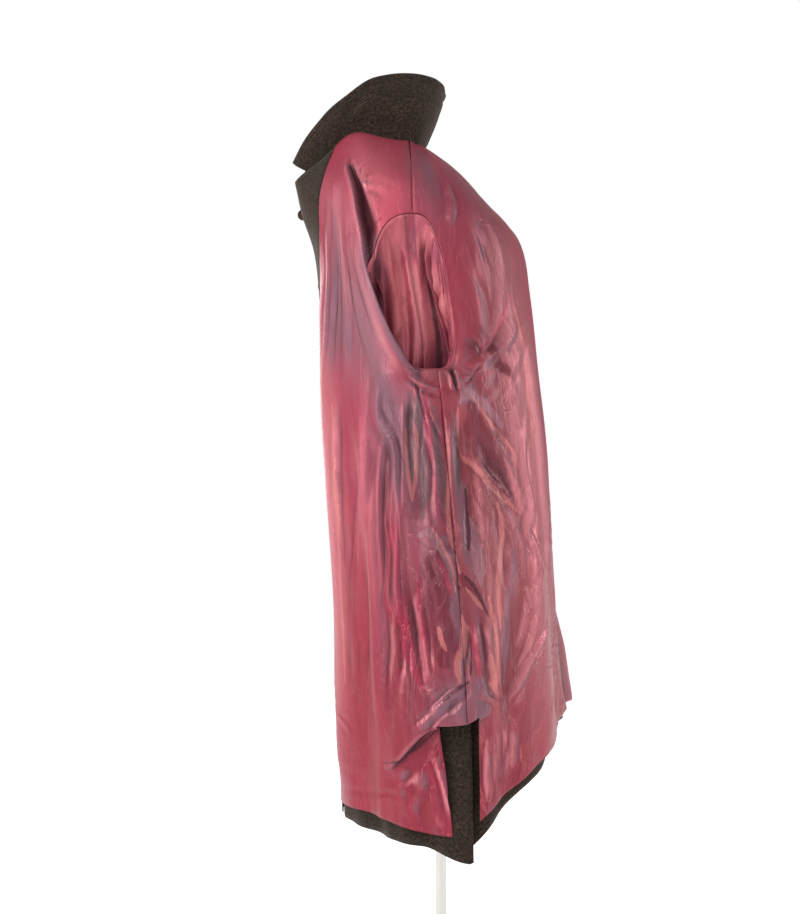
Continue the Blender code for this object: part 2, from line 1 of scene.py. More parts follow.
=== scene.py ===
"""Looks of the lined wool overcoat that hangs inside out on a limbless dress form.

Every cloth piece is a thin shell on the form of its CAD solid, with finer folds, seams and puckers. Metres, +Z up.
The coat's front faces -Y and the wearer's left is +X.
"""

import math
from collections import namedtuple

import bpy
import numpy as np
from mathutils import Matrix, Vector


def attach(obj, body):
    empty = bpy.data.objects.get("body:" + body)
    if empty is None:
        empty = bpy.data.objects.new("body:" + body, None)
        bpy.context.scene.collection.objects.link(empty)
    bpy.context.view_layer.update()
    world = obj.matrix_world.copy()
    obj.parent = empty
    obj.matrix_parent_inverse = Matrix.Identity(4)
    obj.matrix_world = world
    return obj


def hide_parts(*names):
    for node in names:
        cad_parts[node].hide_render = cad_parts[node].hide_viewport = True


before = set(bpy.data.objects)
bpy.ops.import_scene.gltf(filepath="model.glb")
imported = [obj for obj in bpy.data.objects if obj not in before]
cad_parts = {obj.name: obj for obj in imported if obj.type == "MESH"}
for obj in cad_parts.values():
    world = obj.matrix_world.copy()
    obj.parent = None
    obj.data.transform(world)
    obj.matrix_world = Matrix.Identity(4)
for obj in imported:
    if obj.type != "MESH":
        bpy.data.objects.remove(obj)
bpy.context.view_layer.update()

MM = 0.001

# Cloth
LINING_WALL = 0.8 * MM
WOOL_WALL = 2.3 * MM
COLLAR_WALL = 4.3 * MM
LINING_EASE = 8.0 * MM
WOOL_DEPTH = 2.2 * MM
WOOL_DROP = 4.0 * MM  # how much deeper the hidden wool lies than the solids, which leaves room for the creases
SEAM_OPEN = 0.25 * MM

# The coat's body as rings, level by level: z front, side and back, half width, y front, side and back, x front,
# crest and the corner powers
RINGS = np.array(
    (
        (0.000, 1.366, 1.422, 1.424, 0.083, -0.240, -0.052, -0.028, 0.035, 0.026, 0.60, 0.60),
        (0.070, 1.311, 1.385, 1.380, 0.145, -0.227, -0.051, 0.027, 0.030, 0.012, 0.70, 0.70),
        (0.130, 1.257, 1.345, 1.325, 0.195, -0.209, -0.050, 0.077, 0.014, 0.004, 0.78, 0.78),
        (0.190, 1.200, 1.290, 1.268, 0.225, -0.202, -0.048, 0.128, 0.007, 0.000, 0.85, 0.85),
        (0.270, 1.130, 1.200, 1.190, 0.241, -0.200, -0.036, 0.144, 0.005, 0.000, 0.85, 0.85),
        (0.420, 1.020, 1.050, 1.050, 0.256, -0.197, -0.012, 0.158, 0.005, 0.000, 0.85, 0.85),
        (0.620, 0.850, 0.850, 0.850, 0.272, -0.186, 0.008, 0.175, 0.006, 0.000, 0.85, 0.87),
        (0.790, 0.680, 0.680, 0.700, 0.287, -0.177, 0.022, 0.184, 0.008, 0.000, 0.85, 0.92),
        (0.950, 0.515, 0.515, 0.590, 0.300, -0.172, 0.032, 0.193, 0.011, 0.000, 0.85, 1.00),
        (1.120, 0.353, 0.345, 0.490, 0.310, -0.166, 0.036, 0.205, 0.014, 0.000, 0.85, 1.08),
    )
)
HALF_WIDTH, POWER_BACK = 3, 10  # places in a ring
SIDE = 90.0
CENTRE_BACK = 180.0
FRONT_HEIGHT_POWER = 1.7
BACK_HEIGHT_POWER = 1.1
CREST_ANGLE = 73.0
CREST_SPREAD = 14.0

# The solids' large folds: angle and level at both ends, half width in degrees, height
Fold = namedtuple("Fold", "angle_top angle_bottom level_top level_bottom half_width height")
DRAPE_LEFT = (
    Fold(0, 0, 0.13, 1.60, 17, -9 * MM),
    Fold(27, 28, 0.15, 1.60, 13, 5 * MM),
    Fold(46, 43, 0.45, 1.40, 11, -9 * MM),
    Fold(65, 66, 0.50, 1.40, 11, 6 * MM),
    Fold(111, 115, 0.45, 1.40, 13, -9 * MM),
    Fold(136, 134, 0.40, 1.40, 13, 8 * MM),
    Fold(160, 158, 0.55, 1.40, 15, -12 * MM),
)
DRAPE_RIGHT = (
    Fold(0, 0, 0.13, 1.60, 17, -7 * MM),
    Fold(29, 33, 0.40, 1.40, 12, -6 * MM),
    Fold(48, 52, 0.45, 1.40, 12, 8 * MM),
    Fold(70, 66, 0.50, 1.40, 11, -6 * MM),
    Fold(109, 114, 0.50, 1.40, 12, 8 * MM),
    Fold(134, 138, 0.42, 1.40, 13, -9 * MM),
    Fold(166, 166, 0.72, 1.55, 14, 26 * MM),
)
FOLDS = (
    Fold(40, 38, 0.38, 0.74, 9, -4 * MM),
    Fold(52, 55, 0.44, 1.00, 8, 8 * MM),
    Fold(62, 69, 0.46, 0.82, 8, -5 * MM),
    Fold(79, 80, 0.47, 0.66, 7, -6 * MM),
    Fold(84, 83, 0.62, 0.90, 8, 6 * MM),
    Fold(97, 98, 0.47, 0.72, 7, -6 * MM),
    Fold(98, 134, 0.50, 0.69, 9, -6 * MM),
    Fold(122, 118, 0.16, 0.50, 9, -6 * MM),
    Fold(146, 147, 0.30, 0.78, 9, 7 * MM),
    Fold(128, 112, 0.68, 0.98, 9, -7 * MM),
)
Swag = namedtuple("Swag", "level_front level_back angle_front angle_back half_width height")
SWAG = Swag(0.425, 0.465, 60, 108, 0.040, 9 * MM)

# The roll beside the armhole, and the level and angle of its crest
ROLL = Fold(57, 74, 0.03, 0.455, 9, 14 * MM)
ROLL_OVERHANG = 8 * MM
ROLL_LINE = np.array(
    (
        (0.0, 64.0), (0.072, 63.0), (0.13, 62.0), (0.165, 62.0), (0.19, 63.0), (0.224, 65.5), (0.265, 68.0),
        (0.295, 70.0), (0.328, 72.0), (0.372, 75.5), (0.414, 80.0), (0.5, 86.0),
    )
)
GAP_DEEP = 15 * MM
GAP_TOP, GAP_BOTTOM = 0.050, 0.34
# Degrees that the roll carries the front panel back over the armhole's lower front corner, by level
COVER = np.array(
    (
        (0.0, 0.0), (0.24, 0.0), (0.265, 1.5), (0.30, 4.5), (0.337, 7.2), (0.372, 8.5), (0.389, 8.5), (0.4035, 7.0),
        (0.417, 5.0), (0.475, 0.0), (1.2, 0.0),
    )
)

# Creases of the left side: half width and height in mm, lean, then angle and level in mm, point by point. lean from
# -1 to 1 makes one flank steep.
CREASES_LEFT = (
    (6, 2.5, 0.2, 61, 80, 65, 65, 70, 60),
    (5, -2.5, 0, 66, 109, 70, 89, 75, 75),
    (5, 2.5, 0, 67, 128, 71, 114, 76, 112),
    (8, 3, 0.2, 52, 74, 36, 151, 32, 249, 26, 430),
    (10, -4, 0, 46, 100, 42, 210, 38, 300, 33, 430),
    (9, 2.5, 0, 56, 150, 56, 230, 60, 320, 66, 420),
    (9, 3.5, -0.2, 53, 110, 50, 223, 47, 320, 43, 470),
    (4, -3, 0, 66, 68, 66, 105, 66, 125),
    (4, 3, 0, 67, 111, 70, 125, 73, 125),
    (8, -3, 0, 67, 134, 73, 140, 79, 164),
    (7, 3, 0.3, 111, 114, 108, 170, 103, 215),
    (10, 3, 0.4, 113, 185, 118, 230, 121, 284, 117, 328),
    (12, -3, 0, 120, 163, 126, 220, 128, 282),
    (8, -3, 0, 113, 265, 117, 296, 120, 326),
    (9, -6, 0, 139, 278, 128, 335, 118, 376, 106, 400),
    (9, 7, -0.4, 146, 300, 131, 360, 115, 394, 99, 423),
    (10, 4, 0, 144, 350, 133, 402, 120, 442, 105, 472),
    (8, 2, 0, 33, 425, 33, 515, 31, 619, 27, 734),
    (8, -3, 0, 38, 439, 36, 511, 34, 655, 35, 742),
    (15, 5, 0, 52, 455, 52, 570, 45, 680, 41, 800, 37, 920),
    (8, 6, 0.7, 66, 417, 64, 480, 71, 532, 70, 604, 70, 675),
    (8, -5, -0.3, 69, 494, 64, 570, 62, 642, 62, 706, 64, 780),
    (5, 4, 0.6, 69, 615, 68, 684, 67, 750, 69, 822),
    (6, -7, 0, 80, 450, 77, 507, 76, 591),
    (5, 4, -0.4, 83, 455, 80, 510, 79, 585),
    (4, -4, 0.3, 81, 438, 84, 450, 88, 456, 92, 458),
    (5, 4, 0, 82, 431, 85, 441, 89, 448, 92, 450),
    (4, -5, 0.3, 85, 452, 86, 484, 88, 510, 89, 535),
    (5, 6, 0.5, 85, 502, 87, 559, 86, 625, 87, 670),
    (5, -4, 0, 83, 508, 85, 565, 84, 625),
    (5, 4, 0.2, 92, 490, 91, 549, 91, 615, 91, 675),
    (7, -7, 0, 95, 496, 94, 549, 93, 604),
    (4, -4, 0, 96, 597, 95, 661, 94, 712),
    (7, 6, -0.5, 96, 540, 104, 570, 116, 600, 126, 634),
    (7, 6, 0.5, 107, 480, 115, 525, 122, 570, 127, 616),
    (12, -5, 0, 99, 504, 105, 525, 114, 567, 121, 600),
    (8, 5, 0.2, 143, 449, 130, 544, 133, 629, 127, 687, 129, 779),
    (6, 3, 0.5, 131, 655, 135, 700, 150, 755),
    (6, -4, 0, 126, 635, 127, 687, 128, 761),
    (5, 3, 0, 108, 624, 109, 675, 111, 755),
    (6, -3, 0, 117, 646, 115, 708, 117, 789),
    (5, -4, 0, 72, 636, 77, 642, 83, 649),
    (6, 6, 0.4, 76, 655, 82, 672, 89, 694, 91, 724),
    (5, 5, -0.5, 82, 681, 86, 722, 89, 754, 90, 795),
    (6, -5, 0, 80, 684, 83, 726, 86, 763),
    (5, -4, 0.2, 72, 750, 74, 801, 75, 842),
    (6, 5, 0.3, 75, 741, 77, 795, 78, 842, 79, 887),
    (6, 4, 0.3, 86, 777, 85, 809, 86, 835, 85, 871),
    (6, 4, -0.3, 89, 789, 90, 820, 88, 855, 89, 881),
    (4, -5, 0, 93, 764, 92, 820, 91, 882),
    (5, 6, -0.4, 96, 782, 96, 837, 97, 881),
    (8, 4, 0, 102, 765, 103, 827, 105, 905),
    (6, 6, 0.4, 153, 794, 131, 870, 122, 916, 115, 945),
    (8, -4, 0, 131, 780, 125, 854, 118, 905),
    (9, 2, 0.3, 37, 771, 38, 860, 35, 935),
    (11, -2, 0, 45, 785, 45, 858, 40, 925),
    (3, -2.5, 0, 66, 575, 64, 640, 65, 705, 63, 770),
    (3, -1.8, 0, 60, 640, 61, 720, 59, 790),
    (3, -2, 0, 72, 800, 71, 850, 73, 900),
    (4, -8, 0, 92, 412, 95.3, 424, 95.8, 442.5, 96.3, 460),
    (3, -5, 0, 77.6, 429, 80.5, 437, 82.7, 445, 83.1, 459, 84.5, 492, 85.4, 510),
    (3, 3, 0.3, 78.6, 420, 83, 436, 86, 444, 90, 450),
    (3, 3, 0, 97.5, 410, 101, 420, 105, 424),
    (3, 3, 0, 97.5, 425, 101, 431, 104, 430),
    (3, -4, 0, 98, 440, 102, 436, 107, 420, 110, 400),
    (6, -5, 0, 104, 372, 110, 382, 108, 390),
    (9, 4, 0, 64, 765, 65, 836, 62, 909),
    (4, 4, 0.4, 91, 890, 86, 895, 81, 905, 75, 910),
    (5, -4, 0, 92, 885, 88, 900, 83, 915),
    (6, 6, -0.3, 91, 884, 86, 893, 81, 907, 76, 922, 71, 938),
    (4, 4, 0, 82, 890, 78, 890, 73, 887),
    (5, 4, 0, 95, 893, 101, 910, 107, 930),
    (5, -4, 0, 98, 876, 103, 902, 112, 934),
    (9, -3, 0, 55, 1026, 65, 1022, 72, 1010),
    (9, 3, 0.2, 73, 995, 71, 1030, 68, 1070),
    (5, 4, 0.5, 78, 970, 80, 1020, 83, 1081),
    (5, -2.5, 0.3, 22, 1062, 43, 1055, 62, 1043, 73, 1051),
    (5, 1.5, 0.3, 24, 940, 33, 962, 34, 1000),
    (5, 4, -0.4, 101, 949, 99, 1019, 101, 1093),
    (8, -4, 0, 109, 952, 110, 1014, 106, 1075),
    (8, 4, 0, 119, 950, 117, 1018, 115, 1082),
)
RIGHT_SHIFT = 5.0  # degrees that the right side's creases are moved on from the left's
RIGHT_DROP = 0.021  # how much lower they are
RIGHT_SHARE = 0.85  # and how high
CREASE_GAIN = 0.82

# Crisp streaks of the satin's gloss and shade, painted into its colour, tone by tone: half width in mm, then angle and
# level in mm, point by point
STREAKS = {
    "maroon": (
        (17, 101.9, 475, 104, 520, 112, 565, 120.1, 605),
        (20, 86.4, 688, 82.7, 726, 82.2, 774, 84, 820, 84.5, 851),
        (5, 72.5, 618, 70.9, 664, 70.6, 711, 71, 760, 73.1, 821, 74.6, 852),
        (7, 98.5, 800, 99.5, 850, 101, 890),
        (6, 90.5, 725, 94, 745, 98, 765),
        (8, 112, 350, 120, 400, 128, 430),
    ),
    "mauve": (
        (6, 78, 668, 82.3, 662, 84.5, 672, 87.5, 700, 89, 730),
        (7, 96.5, 470, 101, 455, 110, 475, 118, 505),
        (8, 96.5, 640, 99, 690, 100, 740),
        (5, 47, 100, 44, 180, 41, 260, 38, 350),
    ),
    "slate": (
        (4.5, 79.1, 455, 78.5, 484, 77.1, 516, 77, 550, 76.9, 585),
        (3.5, 94, 499, 93.6, 534, 93.8, 565, 93, 605),
        (7, 82, 462, 81, 520, 81.5, 590, 80, 640),
        (3.5, 88, 475, 88, 520, 88.5, 580, 88, 640),
    ),
    "magenta": (
        (4, 85.6, 456, 85, 495, 85, 526, 85.2, 559),
        (3, 85.6, 572, 86, 605, 86.4, 637, 87, 662),
        (4, 94.9, 795, 94.6, 822, 95.4, 848, 97, 875),
        (3.5, 83.4, 691, 86, 715, 87.3, 736, 88, 754),
        (3.5, 77, 672, 76.2, 695, 76.4, 727, 76, 760, 76, 790, 77, 836, 78.3, 881),
        (6, 65, 619, 65.8, 665, 67, 711, 67, 760, 69.7, 806, 71.7, 852, 76.3, 887),
        (5, 134.9, 288, 126.8, 335, 117.9, 370, 108.9, 390),
    ),
    "salmon": (
        (2.5, 75.8, 506, 75.5, 532, 75.1, 565, 76, 617),
        (2.5, 79.7, 497, 80, 525, 78.6, 572, 76, 617),
        (2.5, 90.9, 485, 90.4, 518, 90.4, 549, 90.2, 582, 89.2, 617, 89, 655, 89.9, 695, 91, 726),
        (2.5, 96, 470, 95.1, 500, 95, 545, 99.8, 565),
        (3.5, 95, 545, 100.8, 565, 108, 589, 116.3, 610, 126, 635),
        (3, 103.1, 460, 109.2, 490, 117.2, 520, 123.5, 543, 124.4, 575, 125.9, 619),
        (4.5, 112.6, 617, 114.2, 665, 112.4, 717, 110.6, 765, 111.7, 815),
        (5, 103.8, 761, 107.1, 813, 107.9, 865, 111.2, 920),
        (2.5, 83.3, 656, 86.6, 682, 88.9, 715, 89.2, 752),
        (2.5, 83, 800, 84, 820, 85.4, 836),
        (5, 90.2, 784, 90.9, 820, 88.5, 851, 88.7, 878),
        (2.5, 92.4, 743, 96, 760, 101, 780),
        (8, 103, 850, 104.5, 880, 103.5, 905),
        (4, 136, 300, 141, 400, 140, 500, 136, 620),
        (3, 33, 450, 32, 600, 31, 760, 32, 900),
    ),
    "dark": (
        (2.5, 96, 598, 96, 630, 96, 662, 95, 689),
        (2.5, 93.4, 794, 92.7, 837, 92.3, 876),
        (2.5, 91, 720, 97.1, 746, 101, 775, 103, 795),
        (2.5, 82.4, 901, 86.8, 889, 90.5, 880, 91.6, 877),
        (2.5, 55, 1002, 63.3, 990, 69, 980, 73.4, 967, 80.6, 944),
    ),
}

# The armhole
HOLE_LEVEL = 0.305
HOLE_HALF = 0.115
HOLE_POWER = 2.7
HOLE_REACH = {-1: 24.0, 1: 9.0}
HOLE_ARC = {-1: 3.3 * MM, 1: 4.0 * MM}
SLEEVE_ROOM = 4.7 * MM

# Spacing of the rows
LINING_ROWS = 0.0046
WOOL_ROWS = 0.009
FACING_ROWS = 0.006

# Hems and vents
FACING_SHORT = 0.006
VENT_TOP = 0.925
LINING_HEM = 1.088
WOOL_HEM = 1.120
LINING_VENT = {-1: 81.0, 1: 95.5}
WOOL_VENT = {-1: 92.0, 1: 88.4}
WOOL_LAP = 5 * MM
BACK_VENT_TOP = 0.74
BACK_VENT_OPEN = 9 * MM
BLOUSE_OUT = 14 * MM
BLOUSE_DOWN = 15 * MM
BLOUSE_START = 0.80
BLOUSE_TURN = 0.009
BLOUSE_ANGLE = 84  # where the lining bags most
FRONT_BULGE = 6 * MM
HEM_CORNER_DROP = 13 * MM
HEM_CORNER_BACK = 15 * MM
VENT_CORNER_DROP = 20 * MM
VENT_CORNER_OUT = 10 * MM
FACING_LEVELS = (0.0, 0.024, 0.055, 0.08, 0.107, 0.135, 0.165, 0.2, 1.2)
FACING_ANGLES = (62.0, 54.0, 46.0, 39.0, 32.0, 25.0, 19.0, 17.0, 17.0)
WOOL_TOP = 0.007

# Collar: its upper edge by the angle of its foot on the neck seam
COLLAR_TOP = np.array(
    (
        (35.0, 0.052, -0.242, 1.398),
        (46.0, 0.067, -0.218, 1.440),
        (57.0, 0.082, -0.185, 1.475),
        (68.0, 0.095, -0.148, 1.502),
        (80.0, 0.101, -0.112, 1.524),
        (95.0, 0.101, -0.066, 1.532),
        (125.0, 0.080, -0.022, 1.532),
        (155.0, 0.045, 0.002, 1.526),
        (180.0, 0.000, 0.009, 1.519),
    )
)
COLLAR_BELLY = 6 * MM
COLLAR_FOOT = 3 * MM
# Dents: place along the collar, depth below its edge, half width, half height, height in mm
COLLAR_DENTS = (
    (0.125, 0.030, 0.018, 0.012, -5.0),
    (0.150, 0.040, 0.012, 0.014, 3.0),
    (0.165, 0.075, 0.024, 0.010, -5.0),
    (0.105, 0.080, 0.016, 0.014, 2.5),
    (0.33, 0.05, 0.02, 0.03, -4.0),
    (0.42, 0.07, 0.02, 0.02, -3.5),
)
COLLAR_FAR_END = np.array((0.0, 0.014, 0.016))
COLLAR_CLEAR = 0.9 * MM
COLLAR_CLEAR_FACING = 4.0 * MM

COAT_MIDDLE = (0.0, -0.02, 0.85)
PHOTO_FOCAL = 1568  # pixels, in a picture 914 pixels high
PHOTO_HEIGHT = 914

# Sleeves
CUFF_LEVEL = 0.700
SLEEVE_MID_X = 0.206
SLEEVE_MID_Y = -0.030
SLEEVE_HALF_THICK = 15 * MM
SLEEVE_HALF_WIDE = 66 * MM
SLEEVE_TURN_IN = 20 * MM
SLEEVE_LINING_END = 0.95
SLEEVE_SHRINK = 4 * MM
SLEEVE_WOOL_OUT = 3.4 * MM
SLEEVE_WOOL_DEPTH = 5 * MM


def smooth(low, high, value):
    """A smooth step from 0 at low to 1 at high."""
    share = np.clip((np.asarray(value, float) - low) / (high - low), 0.0, 1.0)
    return share * share * (3 - 2 * share)


def fall(low, high, value):
    return 1 - smooth(low, high, value)


def fading(share, rise, sink):
    """A fade in and out along 0 to 1, and nothing outside it."""
    return smooth(0, rise, share) * fall(sink, 1.0, share)


def bell(distance, reach):
    return np.exp(-((distance / reach) ** 2))


def bump(distance):
    """1 at no distance, none from 1 on."""
    near = np.clip(np.abs(distance), 0.0, 1.0)
    return np.cos(np.pi / 2 * near) ** 2


def table_curve(keys, values, key):
    """A smooth curve through a table's rows, read at every key."""
    keys, values, key = np.asarray(keys, float), np.asarray(values, float), np.asarray(key, float)
    last = len(keys) - 1
    order = np.arange(last + 1)
    low, high = np.maximum(order - 1, 0), np.minimum(order + 1, last)
    slopes = (values[high] - values[low]) / (keys[high] - keys[low])[:, None]
    here = np.clip(np.searchsorted(keys, key, side="right") - 1, 0, last - 1)
    span = (keys[here + 1] - keys[here])[..., None]
    t = (key - keys[here])[..., None] / span
    return (
        (2 * t**3 - 3 * t**2 + 1) * values[here]
        + (t**3 - 2 * t**2 + t) * span * slopes[here]
        + (3 * t**2 - 2 * t**3) * values[here + 1]
        + (t**3 - t**2) * span * slopes[here + 1]
    )


def ring_at(level):
    return np.moveaxis(table_curve(RINGS[:, 0], RINGS[:, 1:], level), -1, 0)


def body_point(angle, level):
    """The coat's outer surface on the left side, before its folds."""
    angle, level = np.broadcast_arrays(np.asarray(angle, float), np.asarray(level, float))
    z_front, z_side, z_back, half, y_front, y_side, y_back, x_front, crest, power, power_back = ring_at(level)
    turn = np.radians(angle)
    front = angle <= SIDE
    cosine, sine = np.abs(np.cos(turn)), np.maximum(np.sin(turn), 0.0)
    power = np.where(front, power, power_back)
    rise = cosine ** np.where(front, FRONT_HEIGHT_POWER, BACK_HEIGHT_POWER)
    x_low = np.where(front, x_front, 0.0)
    x = x_low + (half - x_low) * sine**power
    y = y_side + (np.where(front, y_front, y_back) - y_side) * cosine**power
    z = z_side + (np.where(front, z_front, z_back) - z_side) * rise + crest * bell(angle - CREST_ANGLE, CREST_SPREAD)
    return np.stack((x, y, z), -1)


def unit(vectors):
    return vectors / np.maximum(np.linalg.norm(vectors, axis=-1, keepdims=True), 1e-9)


def body_normal(angle, level):
    """The outward direction there."""
    angle, level = np.broadcast_arrays(np.asarray(angle, float), np.asarray(level, float))
    step, drop = 1.5, 0.006
    low, high = np.maximum(angle - step, 0.5), np.minimum(angle + step, CENTRE_BACK - 0.5)
    top, bottom = np.maximum(level - drop, 0.0), np.minimum(level + drop, WOOL_HEM)
    around = body_point(high, level) - body_point(low, level)
    down = body_point(angle, bottom) - body_point(angle, top)
    return unit(np.cross(down, around))


def fold_height(folds, angle, level):
    height = np.zeros(np.broadcast(angle, level).shape)
    for fold in folds:
        share = (level - fold.level_top) / (fold.level_bottom - fold.level_top)
        centre = fold.angle_top + (fold.angle_bottom - fold.angle_top) * share
        height += fold.height * fading(share, 0.3, 0.8) * bump((angle - centre) / fold.half_width)
    return height


def crest_angle(level):
    return table_curve(ROLL_LINE[:, 0], ROLL_LINE[:, 1:], np.clip(level, 0, 0.5))[..., 0]


def roll_height(angle, level):
    """The front panel's roll beside the armhole, broad in front and steep towards the sleeve, and its overhang."""
    share = (level - ROLL.level_top) / (ROLL.level_bottom - ROLL.level_top)
    fade = fading(share, 0.25, 0.86)
    offset = angle - crest_angle(level)
    shape = np.where(offset < 0, bump(offset / 26.0) ** 1.6, bump(offset / 3.6))
    hang = bump(offset / np.where(offset < 0, 9.0, 3.6)) * fall(0.19, 0.25, level)
    return ROLL.height * fade * shape, ROLL_OVERHANG * fade * hang


def gap_height(angle, level):
    """The deep narrow hollow behind the roll."""
    fade = fading((level - GAP_TOP) / (GAP_BOTTOM - GAP_TOP), 0.22, 0.85)
    wide = 2.2 + 5.5 * smooth(0.09, 0.19, level) * fall(0.23, 0.30, level)
    offset = angle - crest_angle(level) - 1.6
    return -GAP_DEEP * fade * np.where(offset < 0, bump(offset / 2.2), bump(offset / (wide + 1.5)))


def swag_height(angle, level):
    share = (angle - SWAG.angle_front) / (SWAG.angle_back - SWAG.angle_front)
    centre = SWAG.level_front + (SWAG.level_back - SWAG.level_front) * share
    return SWAG.height * fading(share, 0.3, 0.7) * bump((level - centre) / SWAG.half_width)


def raised_folds(angle, level):
    return fold_height(FOLDS, angle, level) + swag_height(angle, level) + roll_height(angle, level)[0]


def drape_of(side):
    return DRAPE_LEFT if side > 0 else DRAPE_RIGHT


def facing_angle(level):
    return np.interp(level, FACING_LEVELS, FACING_ANGLES)


def hole_edge(half, step, grow):
    """The armhole's edge, front or back, grown by grow: angle and level."""
    reach = (1 - np.clip(np.abs(step), 0, 1) ** HOLE_POWER) ** (1 / HOLE_POWER)
    angle = SIDE + half * (HOLE_REACH[half] + grow / HOLE_ARC[half]) * reach
    return angle, HOLE_LEVEL + (HOLE_HALF + grow) * np.asarray(step, float)


def hole_step(turns):
    """How far down the armhole each turn round it is, from -1 to 1."""
    return -np.sign(np.cos(turns)) * np.abs(np.cos(turns)) ** (2 / HOLE_POWER)


def hole_distance(angle, level):
    """Metres from the armhole's edge, nearly, and none inside it."""
    front = angle < SIDE
    arc, reach = np.where(front, HOLE_ARC[-1], HOLE_ARC[1]), np.where(front, HOLE_REACH[-1], HOLE_REACH[1])
    across, down = (angle - SIDE) * arc, level - HOLE_LEVEL
    size = (np.abs((angle - SIDE) / reach) ** HOLE_POWER + np.abs(down / HOLE_HALF) ** HOLE_POWER) ** (1 / HOLE_POWER)
    return np.hypot(across, down) * (1 - 1 / np.maximum(size, 1.0))


def cover_turn(angle, level):
    """Degrees that the roll carries the front panel back there."""
    near = np.where(angle < 70, bump((angle - 70) / 28), bump((angle - 70) / 20))
    return np.where(angle < SIDE, np.interp(level, COVER[:, 0], COVER[:, 1]) * near, 0.0)


def ease_at(angle, level):
    """The share of the lining's ease there: none at the neck, the shoulder, the armhole and the edges."""
    from_seam = np.maximum(smooth(0, 10, np.abs(angle - SIDE)), smooth(0.45, 0.55, level))
    from_front = smooth(0, 10, angle - facing_angle(level))
    from_back = smooth(0, 10, CENTRE_BACK - angle)
    return smooth(0, 0.033, hole_distance(angle, level)) * from_seam * from_front * from_back * smooth(0.0, 0.10, level)


def drop_share(level):
    """The share of WOOL_DROP there."""
    return smooth(0.2, 0.35, level)


def blouse_level(angle):
    """The level where the bagging lining turns back in, which falls away towards the front."""
    return VENT_TOP + 0.004 + 0.075 * smooth(LINING_VENT[-1], LINING_VENT[-1] - 24, angle)


def centre_back(level, short):
    """The angle where a back panel ends, short of the centre and drawn back from it along the vent."""
    half, power = ring_at(level)[[HALF_WIDTH, POWER_BACK]]
    away = short + BACK_VENT_OPEN * smooth(BACK_VENT_TOP, 1.0, level)
    return CENTRE_BACK - np.degrees(np.arcsin((away / half) ** (1 / power)))


def noise(x, y, seed):
    """Smooth noise from -1 to 1 on a plane."""
    lattice = np.random.RandomState(seed).uniform(-1, 1, (64, 64))
    xi, yi = np.floor(x).astype(int), np.floor(y).astype(int)
    fx, fy = x - xi, y - yi
    fx, fy = fx * fx * (3 - 2 * fx), fy * fy * (3 - 2 * fy)

    def corner(i, j):
        return lattice[(xi + i) % 64, (yi + j) % 64]

    low = corner(0, 0) * (1 - fx) + corner(1, 0) * fx
    high = corner(0, 1) * (1 - fx) + corner(1, 1) * fx
    return low * (1 - fy) + high * fy


def soft_floor(value, floor):
    """value where it is positive, and a soft approach to -floor where it is deep."""
    return np.where(value < 0, -floor * np.tanh(-value / np.maximum(floor, 1e-6)), value)


def moved(side):
    """How far the right side's creases and tones are moved on from the left's, in degrees and level."""
    return (0.0, 0.0) if side > 0 else (RIGHT_SHIFT, RIGHT_DROP)


def path_on_cloth(side, numbers, count=28):
    """A smooth path on one side's cloth, through angles and levels in mm, and its angles and levels."""
    points = np.reshape(numbers, (-1, 2)) / (1, 1000)
    line = table_curve(np.arange(len(points)), points, np.linspace(0, len(points) - 1, count))
    shift, drop = moved(side)
    angles, levels = line[:, 0] + shift, np.minimum(line[:, 1] + drop, WOOL_HEM)
    return plain_surface(side, angles, levels, 0.0), line[:, 0], levels


def near_path(base, path, reach):
    return np.all((base > path.min(0) - reach) & (base < path.max(0) + reach), axis=-1)


def along_path(here, path):
    """Each point's distance from a path, its share of the way along, and there the path's direction and the offset."""
    start, along = path[:-1], np.diff(path, axis=0)
    length = np.maximum((along**2).sum(-1), 1e-12)
    t = np.clip(((here[:, None] - start) * along).sum(-1) / length, 0, 1)
    away = here[:, None] - start - t[..., None] * along
    distance = np.linalg.norm(away, axis=-1)
    best = distance.argmin(1)
    rows = np.arange(len(here))
    return distance[rows, best], (best + t[rows, best]) / len(along), along[best], away[rows, best]


def crease_field(side, base, normal):
    """How far the creases move every point of a grid out, and how far sideways."""
    out, slide = np.zeros(base.shape[:-1]), np.zeros(base.shape)
    share = 1.0 if side > 0 else RIGHT_SHARE
    seeds = np.random.RandomState(5 if side > 0 else 8)
    for half_width, lift, lean, *numbers in CREASES_LEFT:
        wave = seeds.uniform(0, 2 * np.pi, 3)
        path, angles, levels = path_on_cloth(side, numbers)
        width = half_width * MM * 1.2
        near = near_path(base, path, width * 1.75)
        if not near.any():
            continue
        up = normal[near]
        distance, share_along, along, away = along_path(base[near], path)
        sign = np.sign(np.einsum("ij,ij->i", np.cross(along, away), up)) * side
        uneven = 1 + 0.22 * np.sin(9 * share_along + wave[0]) + 0.12 * np.sin(23 * share_along + wave[1])
        flank = np.where(sign > 0, 1 - 0.75 * lean, 1 + 0.75 * lean) * width
        flank = flank * (1 + 0.15 * np.sin(7 * share_along + wave[2]))
        taper = fading(share_along, 0.36, 0.6)
        busy = bump((levels.mean() - 0.70) / 0.27) * bump((angles.mean() - 90) / 34)
        taper = taper * (1 - 0.42 * min(1.0, 1.6 * busy))
        share_across = distance / np.maximum(flank, 1e-6)
        shape = 0.55 * np.exp(-2.4 * share_across**2) + 0.45 * np.exp(-3.4 * share_across)
        beside = np.exp(-9.0 * (share_across - 1.2) ** 2)
        height = lift * MM * share * uneven * taper * CREASE_GAIN
        out[near] += height * (shape - 0.35 * beside)
        if abs(lean) > 0.15 and lift > 0:
            across = unit(np.cross(along, up)) * side * np.sign(lean)
            slide[near] += across * (abs(lean) * 1.1 * height * shape)[:, None]
    return out, slide


